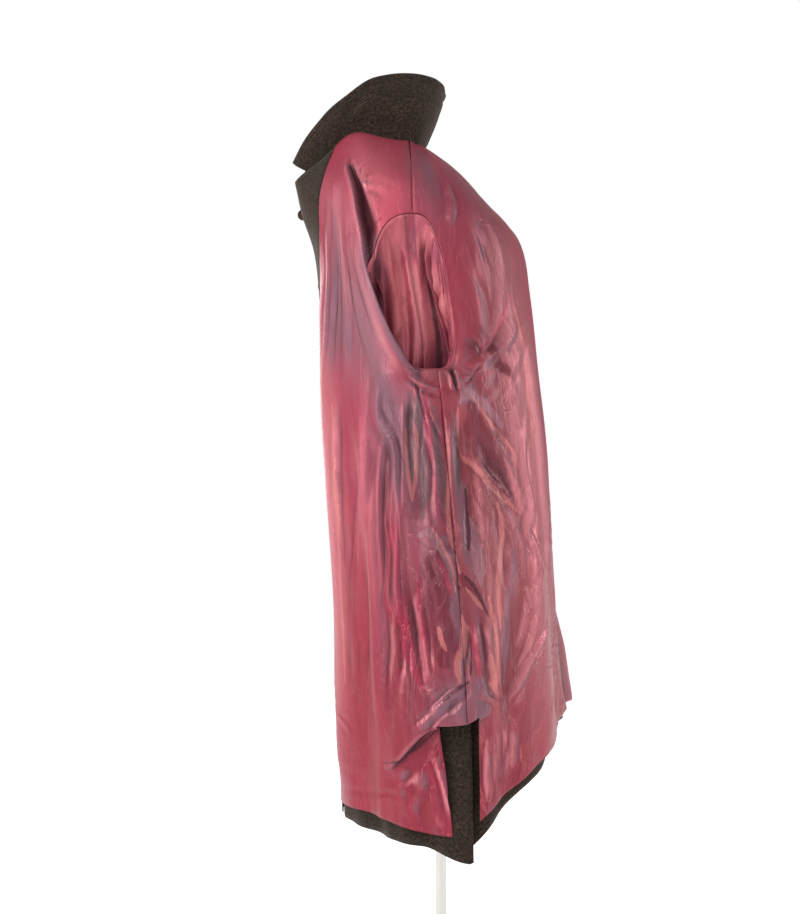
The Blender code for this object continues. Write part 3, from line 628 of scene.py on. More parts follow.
def streak_layers(side, base, s, v, seed):
    """How near each point is to the middle of a streak, tone by tone: 1 there and a half at its edge."""
    layers = {}
    wobble = (0.9 * noise(s / 0.012, v / 0.030, seed + 41) + 0.4 * noise(s / 0.005, v / 0.014, seed + 42)) * MM
    for tone, rows in STREAKS.items():
        layer = layers[f"streak_{tone}"] = np.zeros(s.shape)
        for half_width, *numbers in rows:
            path = path_on_cloth(side, numbers)[0]
            near = near_path(base, path, half_width * MM * 2.2)
            if near.any():
                distance, share = along_path(base[near], path)[:2]
                width = half_width * MM * (0.45 + 0.65 * fading(share, 0.25, 0.75))
                layer[near] = np.maximum(layer[near], 1 - np.maximum(distance + wobble[near], 0) / (2 * width))
    return layers


def cloth_arc(points):
    """Distance along each row of a grid, from its first column."""
    steps = np.linalg.norm(np.diff(points, axis=1), axis=-1)
    return np.concatenate((np.zeros((points.shape[0], 1)), np.cumsum(steps, axis=1)), axis=1)


ARC_ROW = 0.01
ARC_TABLE = cloth_arc(body_point(*np.meshgrid(np.arange(181.0), np.arange(0.0, 1.14, ARC_ROW))))


def cloth_across(angle, level):
    """Metres round the cloth from the side, the same for every panel."""
    row = np.clip(level / ARC_ROW, 0, len(ARC_TABLE) - 1.001)
    column = np.clip(angle, 0, 179.999)
    i, j = row.astype(int), column.astype(int)
    a, b = row - i, column - j
    low = ARC_TABLE[i, j] * (1 - b) + ARC_TABLE[i, j + 1] * b
    high = ARC_TABLE[i + 1, j] * (1 - b) + ARC_TABLE[i + 1, j + 1] * b
    middle = ARC_TABLE[i, 90] * (1 - a) + ARC_TABLE[i + 1, 90] * a
    return low * (1 - a) + high * a - middle


def wrinkles(s, v, angle, level, seed):
    """Small uneven wrinkles that run mostly down the cloth."""
    low = smooth(0.25, 0.55, level)
    rear = smooth(62, 82, angle)
    drift = 0.014 * noise(s / 0.09, v / 0.16, seed + 1)
    long = noise((s + drift) / 0.036, v / 0.26, seed + 2) * 1.6
    facet = np.abs(noise((s + 2 * drift) / 0.040, v / 0.13, seed + 3)) * (1.6 + 1.8 * rear)
    patch = smooth(-0.1, 0.5, noise(s / 0.10, v / 0.14, seed + 4))
    tilt = 0.7 * noise(s / 0.12, v / 0.12, seed + 5)
    a = (s + tilt * v * 0.5 + drift) / 0.018
    ridged = (1 - np.abs(noise(a, v / 0.060, seed + 6))) ** 3 * (0.6 + 0.7 * rear)
    fine = noise(s / 0.007, v / 0.035, seed + 7) * 0.10
    return (long * (0.4 + 0.6 * low) + (facet + ridged * patch) * (0.25 + 0.75 * low) + fine) * MM


def seam_pucker(distance, along, reach, height, seed):
    """Short puckers across a seam."""
    beat = noise(along / 0.0052, distance * 0 + 0.5, seed) + 0.6 * noise(along / 0.011, distance / 0.02, seed + 1)
    return height * beat * bell(distance, reach)


def lining_surface(side, angle, level, seed):
    """The lining's points on a grid of angle and level, with what their tones need."""
    base = body_point(angle, level)
    normal = body_normal(angle, level)
    drape = fold_height(drape_of(side), angle, level)
    base = base + normal * drape[..., None]
    base[..., 0] *= side
    normal[..., 0] *= side
    ease = ease_at(angle, level)
    overhang = roll_height(angle, level)[1]
    creases, slide = crease_field(side, base, normal)
    creases = creases + gap_height(angle, level)
    own, s, v = cloth_arc(base), cloth_across(angle, level), level
    streaks = streak_layers(side, base, s, v, seed)
    small = wrinkles(s, v, angle, level, seed)
    to_side = np.abs(angle - SIDE) * np.where(angle < SIDE, 3.3, 4.0) * MM
    outside_hole = np.abs(level - HOLE_LEVEL) > HOLE_HALF
    seam = smooth(0.44, 0.50, level)
    small += seam_pucker(to_side, v, 0.016, 0.9 * MM, seed + 20) * seam
    small -= 0.6 * MM * bell(to_side, 0.0022) * outside_hole
    from_hole = hole_distance(angle, level)
    back_edge = (angle > SIDE) * smooth(0.25, 0.30, level) * smooth(0, 0.002, from_hole)
    small += seam_pucker(from_hole, v, 0.012, 1.5 * MM, seed + 26) * back_edge
    out = np.maximum(raised_folds(angle, level), -0.85 * LINING_EASE * ease) + creases
    out = soft_floor(out, (0.85 * LINING_EASE + WOOL_DROP * 0.9 * drop_share(level)) * ease + 0.2 * MM)
    edge = smooth(0.0, 0.010, own) * smooth(0.0, 0.010, own[:, -1:] - own)
    out = out + FRONT_BULGE * bump((angle - 24) / 13) * smooth(0.17, 0.26, level) * fall(1.0, 1.08, level)
    out = out + small * (0.15 + 0.85 * np.minimum(ease * 3, 1.0)) * (0.2 + 0.8 * edge)
    turn = np.clip((level - blouse_level(angle)) / BLOUSE_TURN, 0, 1)
    bag = smooth(BLOUSE_START, VENT_TOP, np.minimum(level, blouse_level(angle)))
    bag = bag * np.where(angle < BLOUSE_ANGLE, smooth(52, 76, angle), bump((angle - BLOUSE_ANGLE) / 22))
    out = out + BLOUSE_OUT * bag * (1 + np.cos(np.pi * turn)) / 2
    down = BLOUSE_DOWN * bag * smooth(0.88, VENT_TOP, np.minimum(level, blouse_level(angle)))
    down = down * (1 - turn) + 0.004 * np.sin(np.pi * turn) * bag
    around = unit(np.gradient(base, axis=1))
    free = np.minimum(ease * 3, 1.0)[..., None] * edge[..., None]
    points = base + normal * out[..., None] + slide * free + around * overhang[..., None]
    points[..., 2] -= down
    corner = np.where(angle < BLOUSE_ANGLE, smooth(56, LINING_VENT[-1], angle), 0.0)
    points[..., 2] -= HEM_CORNER_DROP * corner * smooth(1.0, LINING_HEM, level)
    points[..., 1] += HEM_CORNER_BACK * corner**2 * smooth(VENT_TOP, LINING_HEM, level)
    hem = smooth(1.03, LINING_HEM, level)
    points[..., 2] -= 2.5 * MM * hem * noise(s / 0.055, level * 0 + 0.5, seed + 28)
    points = points + normal * (3.0 * MM * hem * noise(s / 0.06, level * 0 + 0.5, seed + 29) * edge)[..., None]
    slope = np.gradient(out, axis=1) / np.maximum(np.gradient(own, axis=1), 1e-5)
    steep = np.gradient(out, axis=0) / np.maximum(np.gradient(level, axis=0), 1e-5)
    # Painted shade under the bag's lip, where the lining turns back in.
    lip_shadow = bag * np.where(angle < BLOUSE_ANGLE, 1.0, 0.6) * smooth(0.0, 0.3, turn)
    lip_shadow = lip_shadow * fall(0.004, 0.020, level - blouse_level(angle))
    return points, s, slope + 0.35 * steep, out, lip_shadow, streaks


def hex_linear(red, green, blue):
    """A colour from 0 to 255 as linear light."""
    values = np.array((red, green, blue)) / 255
    linear = np.where(values <= 0.04045, values / 12.92, ((values + 0.055) / 1.055) ** 2.4)
    return tuple(linear)


# The streaks' colours, painted highlights and reflections in the light tones and painted shade in the dark ones, from
# under to over, and how strongly they show
STREAK_TONES = {
    "maroon": ((108, 32, 48), 0.72),
    "mauve": ((158, 108, 120), 0.65),
    "slate": ((98, 80, 84), 0.68),
    "magenta": ((178, 50, 82), 0.5),
    "salmon": ((204, 118, 114), 0.55),
    "dark": ((58, 12, 24), 0.75),
}

# Areas of the shot lining's tones, mostly painted light, with their shares of each tone: salmon painted highlight, grey
# painted sheen, deep painted shade and brown
Tint = namedtuple("Tint", "angle level angle_reach level_reach salmon grey deep brown", defaults=(0, 0, 0, 0))
TINTS = (
    Tint(25, 0.56, 10, 0.2, 0.95),
    Tint(27, 0.84, 7, 0.14, 0.45),
    Tint(52, 0.62, 7, 0.14, 0.35),
    Tint(30, 0.3, 9, 0.1, 0.5, 0.2),
    Tint(45, 0.12, 12, 0.12, 0.3, 0.1),
    Tint(40, 0.24, 7, 0.12, 0, 0.7),
    Tint(48, 0.34, 8, 0.1, 0.3, 0.4),
    Tint(62, 0.36, 9, 0.12, 0.1, 0.7),
    Tint(68, 0.5, 6, 0.1, 0, 0.9),
    Tint(98, 0.1, 8, 0.1, 0, 0.8, 0, 0.3),
    Tint(130, 0.2, 22, 0.2, 0, 0.35, 0, 0.6),
    Tint(110, 0.55, 20, 0.2, 0, 0.15, 0, 0.7),
    Tint(108, 0.8, 20, 0.2, 0.1, 0.1, 0, 0.6),
    Tint(78, 0.55, 8, 0.12, 0.1, 0.6, 0, 0.1),
    Tint(80, 0.72, 9, 0.07, 0.1, 0.4, 0, 0.3),
    Tint(140, 0.5, 16, 0.2, 0.6, 0.2, 0, 0.5),
    Tint(150, 0.85, 22, 0.25, 0.4, 0.1, 0, 0.6),
    Tint(88, 0.9, 12, 0.04, 0.1, 0.7),
    Tint(66, 0.8, 8, 0.25, 0, 0, 0.15),
    Tint(118, 0.37, 8, 0.04, 0, 0, 0.25),
    Tint(94.9, 0.423, 1.3, 0.008, 0, 0, 1),
    Tint(95.7, 0.44, 0.9, 0.013, 0, 0, 1),
    Tint(86, 0.64, 12, 0.16, 0, 0.15, 0.22),
    Tint(76, 0.07, 15, 0.09, 0.34),
    Tint(56, 0.27, 10, 0.1, 0.25, 0.35),
    Tint(107, 0.385, 5, 0.012, 0, 0, 0.6),
    Tint(89, 0.425, 6, 0.012, 0, 0.2, 0, 0.5),
    Tint(113, 0.57, 7, 0.05, 0, 0, 0.35),
)


def blurred(values, passes, axis):
    """Values evened out along one axis of a grid."""
    last = values.shape[axis] - 1
    here = np.arange(last + 1)
    for _ in range(passes):
        ahead, behind = (np.take(values, np.clip(here + step, 0, last), axis) for step in (1, -1))
        values = (ahead + behind + 2 * values) / 4
    return values


def curvature(out, s):
    """How hollow the cloth is across its folds, positive in a hollow."""
    even = blurred(blurred(out, 3, 1), 2, 0)
    step = np.maximum(np.gradient(s, axis=1), 1e-4)
    return np.clip(blurred(np.gradient(np.gradient(even, axis=1) / step, axis=1) / step, 1, 1), -400, 400)


def tones(side, angle, level, s, slope, out, lip_shadow, seed):
    """How much painted highlight, painted grey sheen and painted shade the lining shows at each point, with its brown
    tone and the weight of its mottle.
    """
    shift, drop = moved(side)
    shares = np.zeros((4, *angle.shape))
    mottle = 0.25 + 0.75 * smooth(60, 80, angle) * (1 - 0.6 * smooth(120, 150, angle)) * smooth(0.36, 0.5, level)
    for tint in TINTS:
        here = bell(angle - tint.angle - shift, tint.angle_reach) * bell(level - tint.level - drop, tint.level_reach)
        shares += np.reshape(tint[4:], (4, 1, 1)) * here
    salmon, grey, deep, brown = shares
    streak = noise(s / 0.024, level / 0.34, seed + 31) + 0.5 * noise(s / 0.010, level / 0.18, seed + 32)
    cloud = noise(s / 0.07, level / 0.12, seed + 33)
    hollow = curvature(out, s)
    # Painted highlight in a salmon tone where slopes face the light and on ridges, and painted grey sheen on the slopes
    # turned away.
    lit = 2.2 * np.clip(slope, -0.5, 0.5) + 0.30 * streak + 0.25 * cloud
    calm = 1 - 0.65 * fall(54, 66, angle) * smooth(0.36, 0.45, level)
    salmon += 0.6 * smooth(0.35, 1.0, lit) * calm + np.clip(-hollow * 0.003, 0, 0.3) * calm
    grey += 0.7 * smooth(0.28, 0.95, -lit) * calm
    # Along the roll's edge: painted grey where it turns away, and a painted highlight on its broad front.
    crest = crest_angle(level)
    turned = smooth(0.19, 0.24, level) * fall(0.40, 0.43, level) * (angle < SIDE)
    grey += 0.8 * turned * bell(angle - crest + 0.6, 1.6)
    salmon += 0.5 * turned * bell(angle - crest + 4.5, 1.8)
    # Painted shade along the back vent.
    if side < 0:
        deep += 0.7 * smooth(171, 178, angle) * smooth(0.74, 0.84, level)
    if side > 0:
        from_vent = centre_back(level, SEAM_OPEN / 2) - angle
        deep += 0.9 * bell(from_vent, 1.1) * smooth(0.72, 0.77, level) * (angle > SIDE)
    # Painted shade where the cloth sinks and in its hollows, in the gap behind the roll and under the bag's lip.
    deep += np.clip(-out / (11 * MM), 0, 1) * 0.25 + np.clip(hollow * 0.006 - 0.05, 0, 0.6)
    deep += np.clip(-gap_height(angle, level) / (7 * MM), 0, 1) * 0.9 + 0.85 * lip_shadow
    layers = {"salmon": salmon, "grey": grey, "deep": deep, "brown": brown, "mottle": mottle}
    return {key: np.clip(value, 0, 1) for key, value in layers.items()}


def link(name, data):
    """A new object in the scene."""
    made = bpy.data.objects.new(name, data)
    bpy.context.scene.collection.objects.link(made)
    return made


def add_grid(name, points, material, wall, layers, ring=False, flip=False, keep=None):
    """A cloth shell through a grid of points. layers are named values at its points, and keep says which faces stay."""
    rows, count = points.shape[:2]
    across = count if ring else count - 1
    r, c = np.meshgrid(np.arange(rows - 1), np.arange(across), indexing="ij")
    after = (c + 1) % count
    faces = np.stack((r * count + c, (r + 1) * count + c, (r + 1) * count + after, r * count + after), -1)
    if keep is not None:
        faces = faces[keep]
    used, faces = np.unique(faces, return_inverse=True)
    faces = faces.reshape(-1, 4)
    if flip:
        faces = faces[:, ::-1]
    mesh = bpy.data.meshes.new(name)
    mesh.vertices.add(len(used))
    mesh.vertices.foreach_set("co", points.reshape(-1, 3)[used].reshape(-1).astype(np.float32))
    mesh.loops.add(len(faces) * 4)
    mesh.loops.foreach_set("vertex_index", faces.reshape(-1).astype(np.int32))
    mesh.polygons.add(len(faces))
    mesh.polygons.foreach_set("loop_start", np.arange(0, len(faces) * 4, 4, dtype=np.int32))
    mesh.update(calc_edges=True)
    mesh.validate()
    for key, values in layers.items():
        kind, field = ("FLOAT", "value") if values.ndim == 2 else ("FLOAT_VECTOR", "vector")
        values = values.reshape(rows * count, -1)[used].reshape(-1).astype(np.float32)
        mesh.attributes.new(key, kind, "POINT").data.foreach_set(field, values)
    mesh.materials.append(material)
    mesh.shade_smooth()
    piece = link(name, mesh)
    solid = piece.modifiers.new("wall", "SOLIDIFY")
    solid.thickness = wall
    solid.offset = -1.0
    solid.use_even_offset = False
    return piece


class Nodes:
    """A short way to build a material's node tree."""

    def __init__(self, name):
        self.material = bpy.data.materials.new(name)
        self.material.use_nodes = True
        self.tree = self.material.node_tree
        self.shader = self.tree.nodes["Principled BSDF"]

    def add(self, kind, **values):
        node = self.tree.nodes.new(kind)
        for key, value in values.items():
            if key in node.inputs:
                self.put(node.inputs[key], value)
            else:
                setattr(node, key, value)
        return node

    def put(self, socket, value):
        if isinstance(value, bpy.types.NodeSocket):
            self.tree.links.new(value, socket)
        elif isinstance(value, tuple) and len(value) == 3 and socket.type == "RGBA":
            socket.default_value = (*value, 1.0)
        else:
            socket.default_value = value

    def value(self, name):
        return self.add("ShaderNodeAttribute", attribute_name=name).outputs["Fac"]

    def vector(self, name):
        return self.add("ShaderNodeAttribute", attribute_name=name).outputs["Vector"]

    def math(self, operation, a, b=0.0):
        node = self.add("ShaderNodeMath", operation=operation)
        self.put(node.inputs[0], a)
        self.put(node.inputs[1], b)
        return node.outputs[0]

    def times(self, a, b):
        return self.math("MULTIPLY", a, b)

    def plus(self, a, b):
        return self.math("ADD", a, b)

    def place(self):
        return self.add("ShaderNodeTexCoord").outputs["Object"]

    def parts(self, vector):
        node = self.add("ShaderNodeSeparateXYZ")
        self.put(node.inputs[0], vector)
        return tuple(node.outputs)

    def over(self, colour, layers):
        """A colour with others laid over it, each a share and its red, green and blue from 0 to 255."""
        for share, *top in layers:
            colour = self.mix(share, colour, hex_linear(*top))
        return colour

    def mix(self, share, a, b):
        node = self.add("ShaderNodeMix", data_type="RGBA", blend_type="MIX")
        self.put(node.inputs[0], share)
        self.put(node.inputs[6], a)
        self.put(node.inputs[7], b)
        return node.outputs[2]

    def scaled(self, vector, scale):
        node = self.add("ShaderNodeVectorMath", operation="MULTIPLY")
        self.put(node.inputs[0], vector)
        node.inputs[1].default_value = scale
        return node.outputs[0]

    def ramp(self, value, low, high, to_low=0.0, to_high=1.0):
        node = self.add("ShaderNodeMapRange", interpolation_type="SMOOTHSTEP")
        for socket, number in zip(node.inputs, (value, low, high, to_low, to_high)):
            self.put(socket, number)
        return node.outputs[0]

    def texture(self, vector, scale, detail=3.0, roughness=0.55, distortion=0.0):
        node = self.add("ShaderNodeTexNoise", Scale=scale, Detail=detail, Roughness=roughness, Distortion=distortion)
        self.put(node.inputs["Vector"], vector)
        return node.outputs["Fac"]

    def bumped(self, height, strength, distance):
        node = self.add("ShaderNodeBump", Strength=strength, Distance=distance)
        self.put(node.inputs["Height"], height)
        self.put(self.shader.inputs["Normal"], node.outputs["Normal"])
        return node

    def set(self, **values):
        for key, value in values.items():
            self.put(self.shader.inputs[key.replace("_", " ")], value)


def lining_material():
    """Shot satin: crimson one way of the thread and slate the other, with a pale salmon gloss, partly the shader's own
    and partly painted highlights, and painted sheen and shade in its colour.
    """
    nodes = Nodes("lining_satin")
    cloth = nodes.vector("cloth")

    def drawn_out(stretch, *settings):
        """Noise that is longer down the cloth than across it."""
        return nodes.texture(nodes.scaled(cloth, (1.0, stretch, 1.0)), *settings)

    blotch = drawn_out(0.35, 22.0, 4.0)
    flow = drawn_out(0.30, 21.0, 4.0, 0.55, 1.4)
    hue = drawn_out(0.35, 9.0, 3.0, 0.5, 0.8)
    uneven = nodes.times(nodes.plus(drawn_out(0.4, 85.0, 3.0), -0.5), 0.9)
    mottle = nodes.value("mottle")
    patch = nodes.times(nodes.ramp(flow, 0.49, 0.54), mottle)
    # Thin pale salmon lines along the patches' borders: painted glints.
    rim_glint = nodes.ramp(nodes.math("ABSOLUTE", nodes.plus(flow, -0.48)), 0.0, 0.022, 1.0, 0.0)
    rim_glint = nodes.times(rim_glint, mottle)
    slate = nodes.times(nodes.ramp(drawn_out(0.22, 34.0, 3.0, 0.6, 0.9), 0.54, 0.62), mottle)
    layers = [
        (nodes.times(nodes.ramp(hue, 0.54, 0.64), 0.5), 158, 22, 72),
        (nodes.times(nodes.ramp(hue, 0.46, 0.36), 0.5), 150, 44, 42),
        (nodes.ramp(nodes.parts(cloth)[1], 0.55, 0.85, 0.0, 0.5), 128, 26, 42),
        (nodes.value("brown"), 136, 62, 64),
        (nodes.times(patch, 0.45), 112, 26, 42),
        (nodes.times(slate, 0.40), 128, 88, 98),
        (nodes.times(rim_glint, 0.20), 206, 120, 122),
        # A painted highlight in a salmon tone, then painted grey sheen on the slopes turned away.
        (nodes.value("salmon"), 208, 122, 130),
        (nodes.times(nodes.value("grey"), 0.9), 122, 84, 98),
    ]
    # Streaks: painted reflections of the gloss, and painted shade lines.
    for tone, (colour, strength) in STREAK_TONES.items():
        edge = nodes.ramp(nodes.plus(nodes.value(f"streak_{tone}"), uneven), 0.34, 0.68, 0.0, strength)
        layers.append((edge, *colour))
    # Painted shade over the colour: hollows, the gap behind the roll and under the bag's lip.
    layers.append((nodes.times(nodes.value("deep"), 0.9), 58, 10, 24))
    colour = nodes.over(nodes.mix(blotch, hex_linear(149, 33, 58), hex_linear(169, 52, 76)), layers)
    threads = nodes.times(nodes.plus(drawn_out(0.12, 900.0, 2.0), -0.5), 0.30)
    shade = nodes.add("ShaderNodeHueSaturation", Value=nodes.plus(threads, 1.0), Color=colour)
    rough = nodes.ramp(blotch, 0.3, 0.7, 0.30, 0.42)
    nodes.set(Base_Color=shade.outputs[0], Roughness=rough, Anisotropic=0.5, Metallic=0.28)
    nodes.set(Sheen_Weight=0.05, Sheen_Roughness=0.4, Sheen_Tint=(0.80, 0.45, 0.50), Specular_IOR_Level=0.42)
    weave = nodes.times(nodes.texture(cloth, 1500.0, 1.0), 0.10)
    crisp = nodes.times(nodes.plus(nodes.times(patch, 0.6), rim_glint), 0.9)
    nodes.bumped(nodes.plus(weave, nodes.plus(crisp, nodes.times(slate, -0.6))), 0.55, 0.0016)
    return nodes.material


def wool_material():
    """Brown wool twill: slanting ribs that turn back every few ribs, with paler flecks and a short nap."""
    nodes = Nodes("wool_tweed")
    cloth = nodes.vector("cloth")
    across, down, _ = nodes.parts(cloth)
    slant = nodes.plus(nodes.math("PINGPONG", across, 0.013), down)
    ribs = nodes.math("SINE", nodes.times(slant, 2 * math.pi / 0.0042))
    ribs = nodes.times(nodes.plus(ribs, 1.0), 0.5)
    fuzz = nodes.texture(cloth, 230.0, 4.0, 0.75)
    cloud = nodes.ramp(nodes.texture(cloth, 48.0, 4.0, 0.7), 0.38, 0.64)
    share = nodes.ramp(nodes.plus(nodes.times(ribs, 0.09), nodes.times(fuzz, 0.91)), 0.38, 0.62)
    fleck = nodes.math("GREATER_THAN", nodes.texture(nodes.scaled(cloth, (1.0, 0.7, 1.0)), 260.0, 2.0, 0.8), 0.69)
    layers = ((share, 64, 50, 40), (nodes.times(fleck, 0.55), 116, 92, 72), (nodes.times(cloud, 0.55), 30, 21, 15))
    colour = nodes.over(hex_linear(15, 11, 8), layers)
    nodes.set(Base_Color=colour, Roughness=0.95, Sheen_Weight=0.18, Sheen_Roughness=0.5)
    nodes.set(Sheen_Tint=(0.62, 0.52, 0.46), Specular_IOR_Level=0.25)
    nodes.bumped(nodes.plus(nodes.times(ribs, 0.25), fuzz), 0.6, 0.0009)
    return nodes.material


def plain_material(name, colour, other, scale, roughness, metallic=0.0, bump_distance=0.0002, stretch=(1.0, 1.0, 1.0)):
    """A hard finish with slight uneven colour, gloss and surface."""
    nodes = Nodes(name)
    place = nodes.scaled(nodes.place(), stretch)
    fine = nodes.texture(place, scale * 9, 3.0)
    nodes.set(Base_Color=nodes.mix(nodes.texture(place, scale, 4.0), colour, other), Metallic=metallic)
    rough = nodes.add("ShaderNodeMapRange")
    nodes.put(rough.inputs[0], fine)
    rough.inputs[3].default_value, rough.inputs[4].default_value = roughness * 0.8, roughness * 1.2
    nodes.set(Roughness=rough.outputs[0])
    nodes.bumped(fine, 0.25, bump_distance)
    return nodes.material


def linen_material():
    """The form's cotton cover, a plain weave."""
    nodes = Nodes("form_cover")
    place = nodes.place()
    x, y, z = nodes.parts(place)
    warp = nodes.math("SINE", nodes.times(nodes.plus(x, y), 5200.0))
    weft = nodes.math("SINE", nodes.times(z, 5200.0))
    colour = nodes.mix(nodes.texture(place, 60.0, 4.0), hex_linear(196, 186, 166), hex_linear(214, 206, 190))
    nodes.set(Base_Color=colour, Roughness=0.9, Sheen_Weight=0.2)
    nodes.bumped(nodes.times(warp, weft), 0.25, 0.0003)
    return nodes.material


def side_name(side):
    return "left" if side > 0 else "right"


# Gaps between the lining's rows: levels and gaps in mm
GAP_LEVELS = (0.41, 0.43, 0.47, 0.50, 0.84, 0.87, 0.91, 0.93, 1.0, 1.02, 1.06)
GAPS = (5.0, 2.8, 2.8, 5.2, 5.2, 2.9, 2.0, 1.8, 1.9, 3.2, 5.0)


def lining_gap(level):
    """The lining's row spacing: close where it folds across, wide elsewhere."""
    return np.interp(level, GAP_LEVELS, GAPS) * MM


def rows_between(first, last, gap):
    levels = [first]
    while levels[-1] + gap(levels[-1]) < last:
        levels.append(levels[-1] + gap(levels[-1]))
    levels = np.array(levels)
    return first + (levels - first) * (last - first) / (levels[-1] - first)


def split_columns(split, before, after):
    """Even columns on both sides of the vent's edge, which is one of them."""
    return np.concatenate((np.linspace(0, split, before + 1), np.linspace(split, 1, after + 1)[1:]))


def panel_levels(top, hem, grow, spacing, gap=None):
    """Levels down a panel, close together where the armhole's edge turns and where the lining bags."""
    hole = HOLE_LEVEL + (HOLE_HALF + grow) * hole_step(np.linspace(0, np.pi, 46))
    first = np.arange(top, hole[0] - spacing * 0.6, spacing)
    first = np.linspace(top, hole[0], len(first) + 1)[:-1]
    if gap:
        above, below = rows_between(hole[-1], VENT_TOP, gap)[1:], rows_between(VENT_TOP, hem, gap)[1:]
        return np.concatenate((first, hole, above, below))
    mid_count = int((VENT_TOP - 0.006 - hole[-1]) / spacing)
    mid = np.linspace(hole[-1], VENT_TOP - 0.006, mid_count + 1)[1:]
    vent = np.linspace(VENT_TOP - 0.006, VENT_TOP + 0.034, 16)[1:]
    last = np.linspace(VENT_TOP + 0.034, hem, int((hem - VENT_TOP - 0.034) / spacing) + 2)[1:]
    return np.concatenate((first, hole, mid, vent, last))


def side_edge(half, level, grow, vent, vent_top=VENT_TOP):
    """The angle where a panel ends at the side: the armhole, the seam or the vent."""
    seam = half * SEAM_OPEN / 2 / HOLE_ARC[half]
    step = (level - HOLE_LEVEL) / (HOLE_HALF + grow)
    edge = np.where(np.abs(step) < 1, hole_edge(half, step, grow)[0], SIDE + seam)
    return np.where(level > vent_top, vent, edge)


def front_columns(first, last, u):
    """Angles along each row of a front panel, drawn in towards the side where the row ends short of it."""
    short = (SIDE - last)[:, None]
    return first[:, None] + (SIDE - first)[:, None] * u - short * u**2


def spread(first, last, u):
    return first[:, None] + (last - first)[:, None] * u


def cloth_coordinates(s, v):
    return np.stack((s, np.broadcast_to(v, s.shape), np.zeros(s.shape)), -1)


def declare(piece, node):
    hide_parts(node)
    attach(piece, "root")


def wool_shell(kind, side, points, s, v, material, **form):
    """A wool piece through a grid of points, with its cloth's coordinates."""
    form = form or {"flip": side < 0}
    name = f"{kind}_shell_{side_name(side)}"
    return add_grid(name, points, material, WOOL_WALL, layers={"cloth": cloth_coordinates(s, v)}, **form)


def lining_panel(side, material, kind, angle, level, seed, keep):
    level = np.broadcast_to(level[:, None], angle.shape)
    points, s, slope, out, lip_shadow, streaks = lining_surface(side, angle, level, seed)
    layers = tones(side, angle, level, s, slope, out, lip_shadow, seed) | streaks
    layers["cloth"] = cloth_coordinates(s + 2.0, level) + (0.0 if side > 0 else 3.7)
    name = f"{kind}_shell_{side_name(side)}"
    return add_grid(name, points, material, LINING_WALL, flip=side < 0, layers=layers, keep=keep)


def front_lining(side, material):
    level = panel_levels(0.0, LINING_HEM, 0.0, LINING_ROWS, lining_gap)
    first = facing_angle(level) + SEAM_OPEN * 40
    last = side_edge(-1, level, 0.0, 0.0, 9.0)
    before, after = 122, 18
    split = (LINING_VENT[-1] - first[-1]) / (last[-1] - first[-1])
    angle = front_columns(first, last, split_columns(split, before, after))
    angle = angle + cover_turn(angle, level[:, None])
    keep = (level[:-1, None] < VENT_TOP - 1e-9) | (np.arange(before + after) < before)
    return lining_panel(side, material, "front_lining", angle, level, 100 if side > 0 else 300, keep)


def back_lining(side, material):
    level = panel_levels(0.0, LINING_HEM, 0.0, LINING_ROWS, lining_gap)
    first = side_edge(1, level, 0.0, 0.0, 9.0)
    before, after = 8, 112
    split = (LINING_VENT[1] - SIDE) / (CENTRE_BACK - SIDE)
    angle = spread(first, centre_back(level, SEAM_OPEN / 2), split_columns(split, before, after))
    keep = (level[:-1, None] < VENT_TOP - 1e-9) | (np.arange(before + after) >= before)
    return lining_panel(side, material, "back_lining", angle, level, 200 if side > 0 else 400, keep)


def plain_surface(side, angle, level, depth):
    """Points of a layer with the large folds alone."""
    points = body_point(angle, level)
    normal = body_normal(angle, level)
    points = points + normal * (fold_height(drape_of(side), angle, level) - depth)[..., None]
    points[..., 0] *= side
    return points


def front_facing(side, material):
    level = panel_levels(0.0, WOOL_HEM - FACING_SHORT, 0.0, FACING_ROWS)
    angle = spread(np.zeros(level.shape), facing_angle(level) - 0.2, np.linspace(0, 1, 21))
    level = np.broadcast_to(level[:, None], angle.shape)
    points = plain_surface(side, angle, level, 0.0)
    normal = body_normal(angle, level)
    normal[..., 0] *= side
    s = cloth_arc(points)
    ripple = 0.6 * MM * noise(s / 0.03, level / 0.09, 71 if side > 0 else 72)
    crush = np.maximum(fold_height(FOLDS, angle, level) + roll_height(angle, level)[0], 0.0)
    groove = -0.7 * MM * bell(s - 0.009, 0.0012)
    points = points + normal * (ripple + crush + groove)[..., None]
    return wool_shell("front_facing", side, points, s, level, material)


def wool_depth(angle, level):
    covered = fall(0, 6, angle - facing_angle(level))
    at_neck = 1.0 * MM * fall(0.02, 0.06, level)
    ease = ease_at(angle, level)
    deeper = WOOL_DROP * ease * drop_share(level)
    return at_neck + deeper + np.maximum(WOOL_DEPTH + LINING_EASE * ease, (WOOL_WALL + 1.2 * MM) * covered)


def wool_grid(side, angle, level):
    """A wool layer's points, their distance along their row and their level."""
    level = np.broadcast_to(level[:, None], angle.shape)
    points = plain_surface(side, angle, level, wool_depth(angle, level))
    return points, cloth_arc(points), level


def front_wool(side, material):
    level = panel_levels(WOOL_TOP, WOOL_HEM, SLEEVE_ROOM, WOOL_ROWS)
    last = side_edge(-1, level, SLEEVE_ROOM, WOOL_VENT[-1]) - 0.12
    angle = front_columns(np.zeros(level.shape), last, np.linspace(0, 1, 45))
    points, s, level = wool_grid(side, angle, level)
    near_edge = smooth(0.78, 1.0, np.linspace(0, 1, angle.shape[1]))
    lap = np.where(level >= VENT_TOP, WOOL_LAP, 0.0)
    points[..., 0] += side * near_edge * (lap + VENT_CORNER_OUT * smooth(VENT_TOP, WOOL_HEM, level))
    points[..., 2] -= near_edge * VENT_CORNER_DROP * smooth(1.03, WOOL_HEM, level)
    return wool_shell("front_wool", side, points, s, level, material)


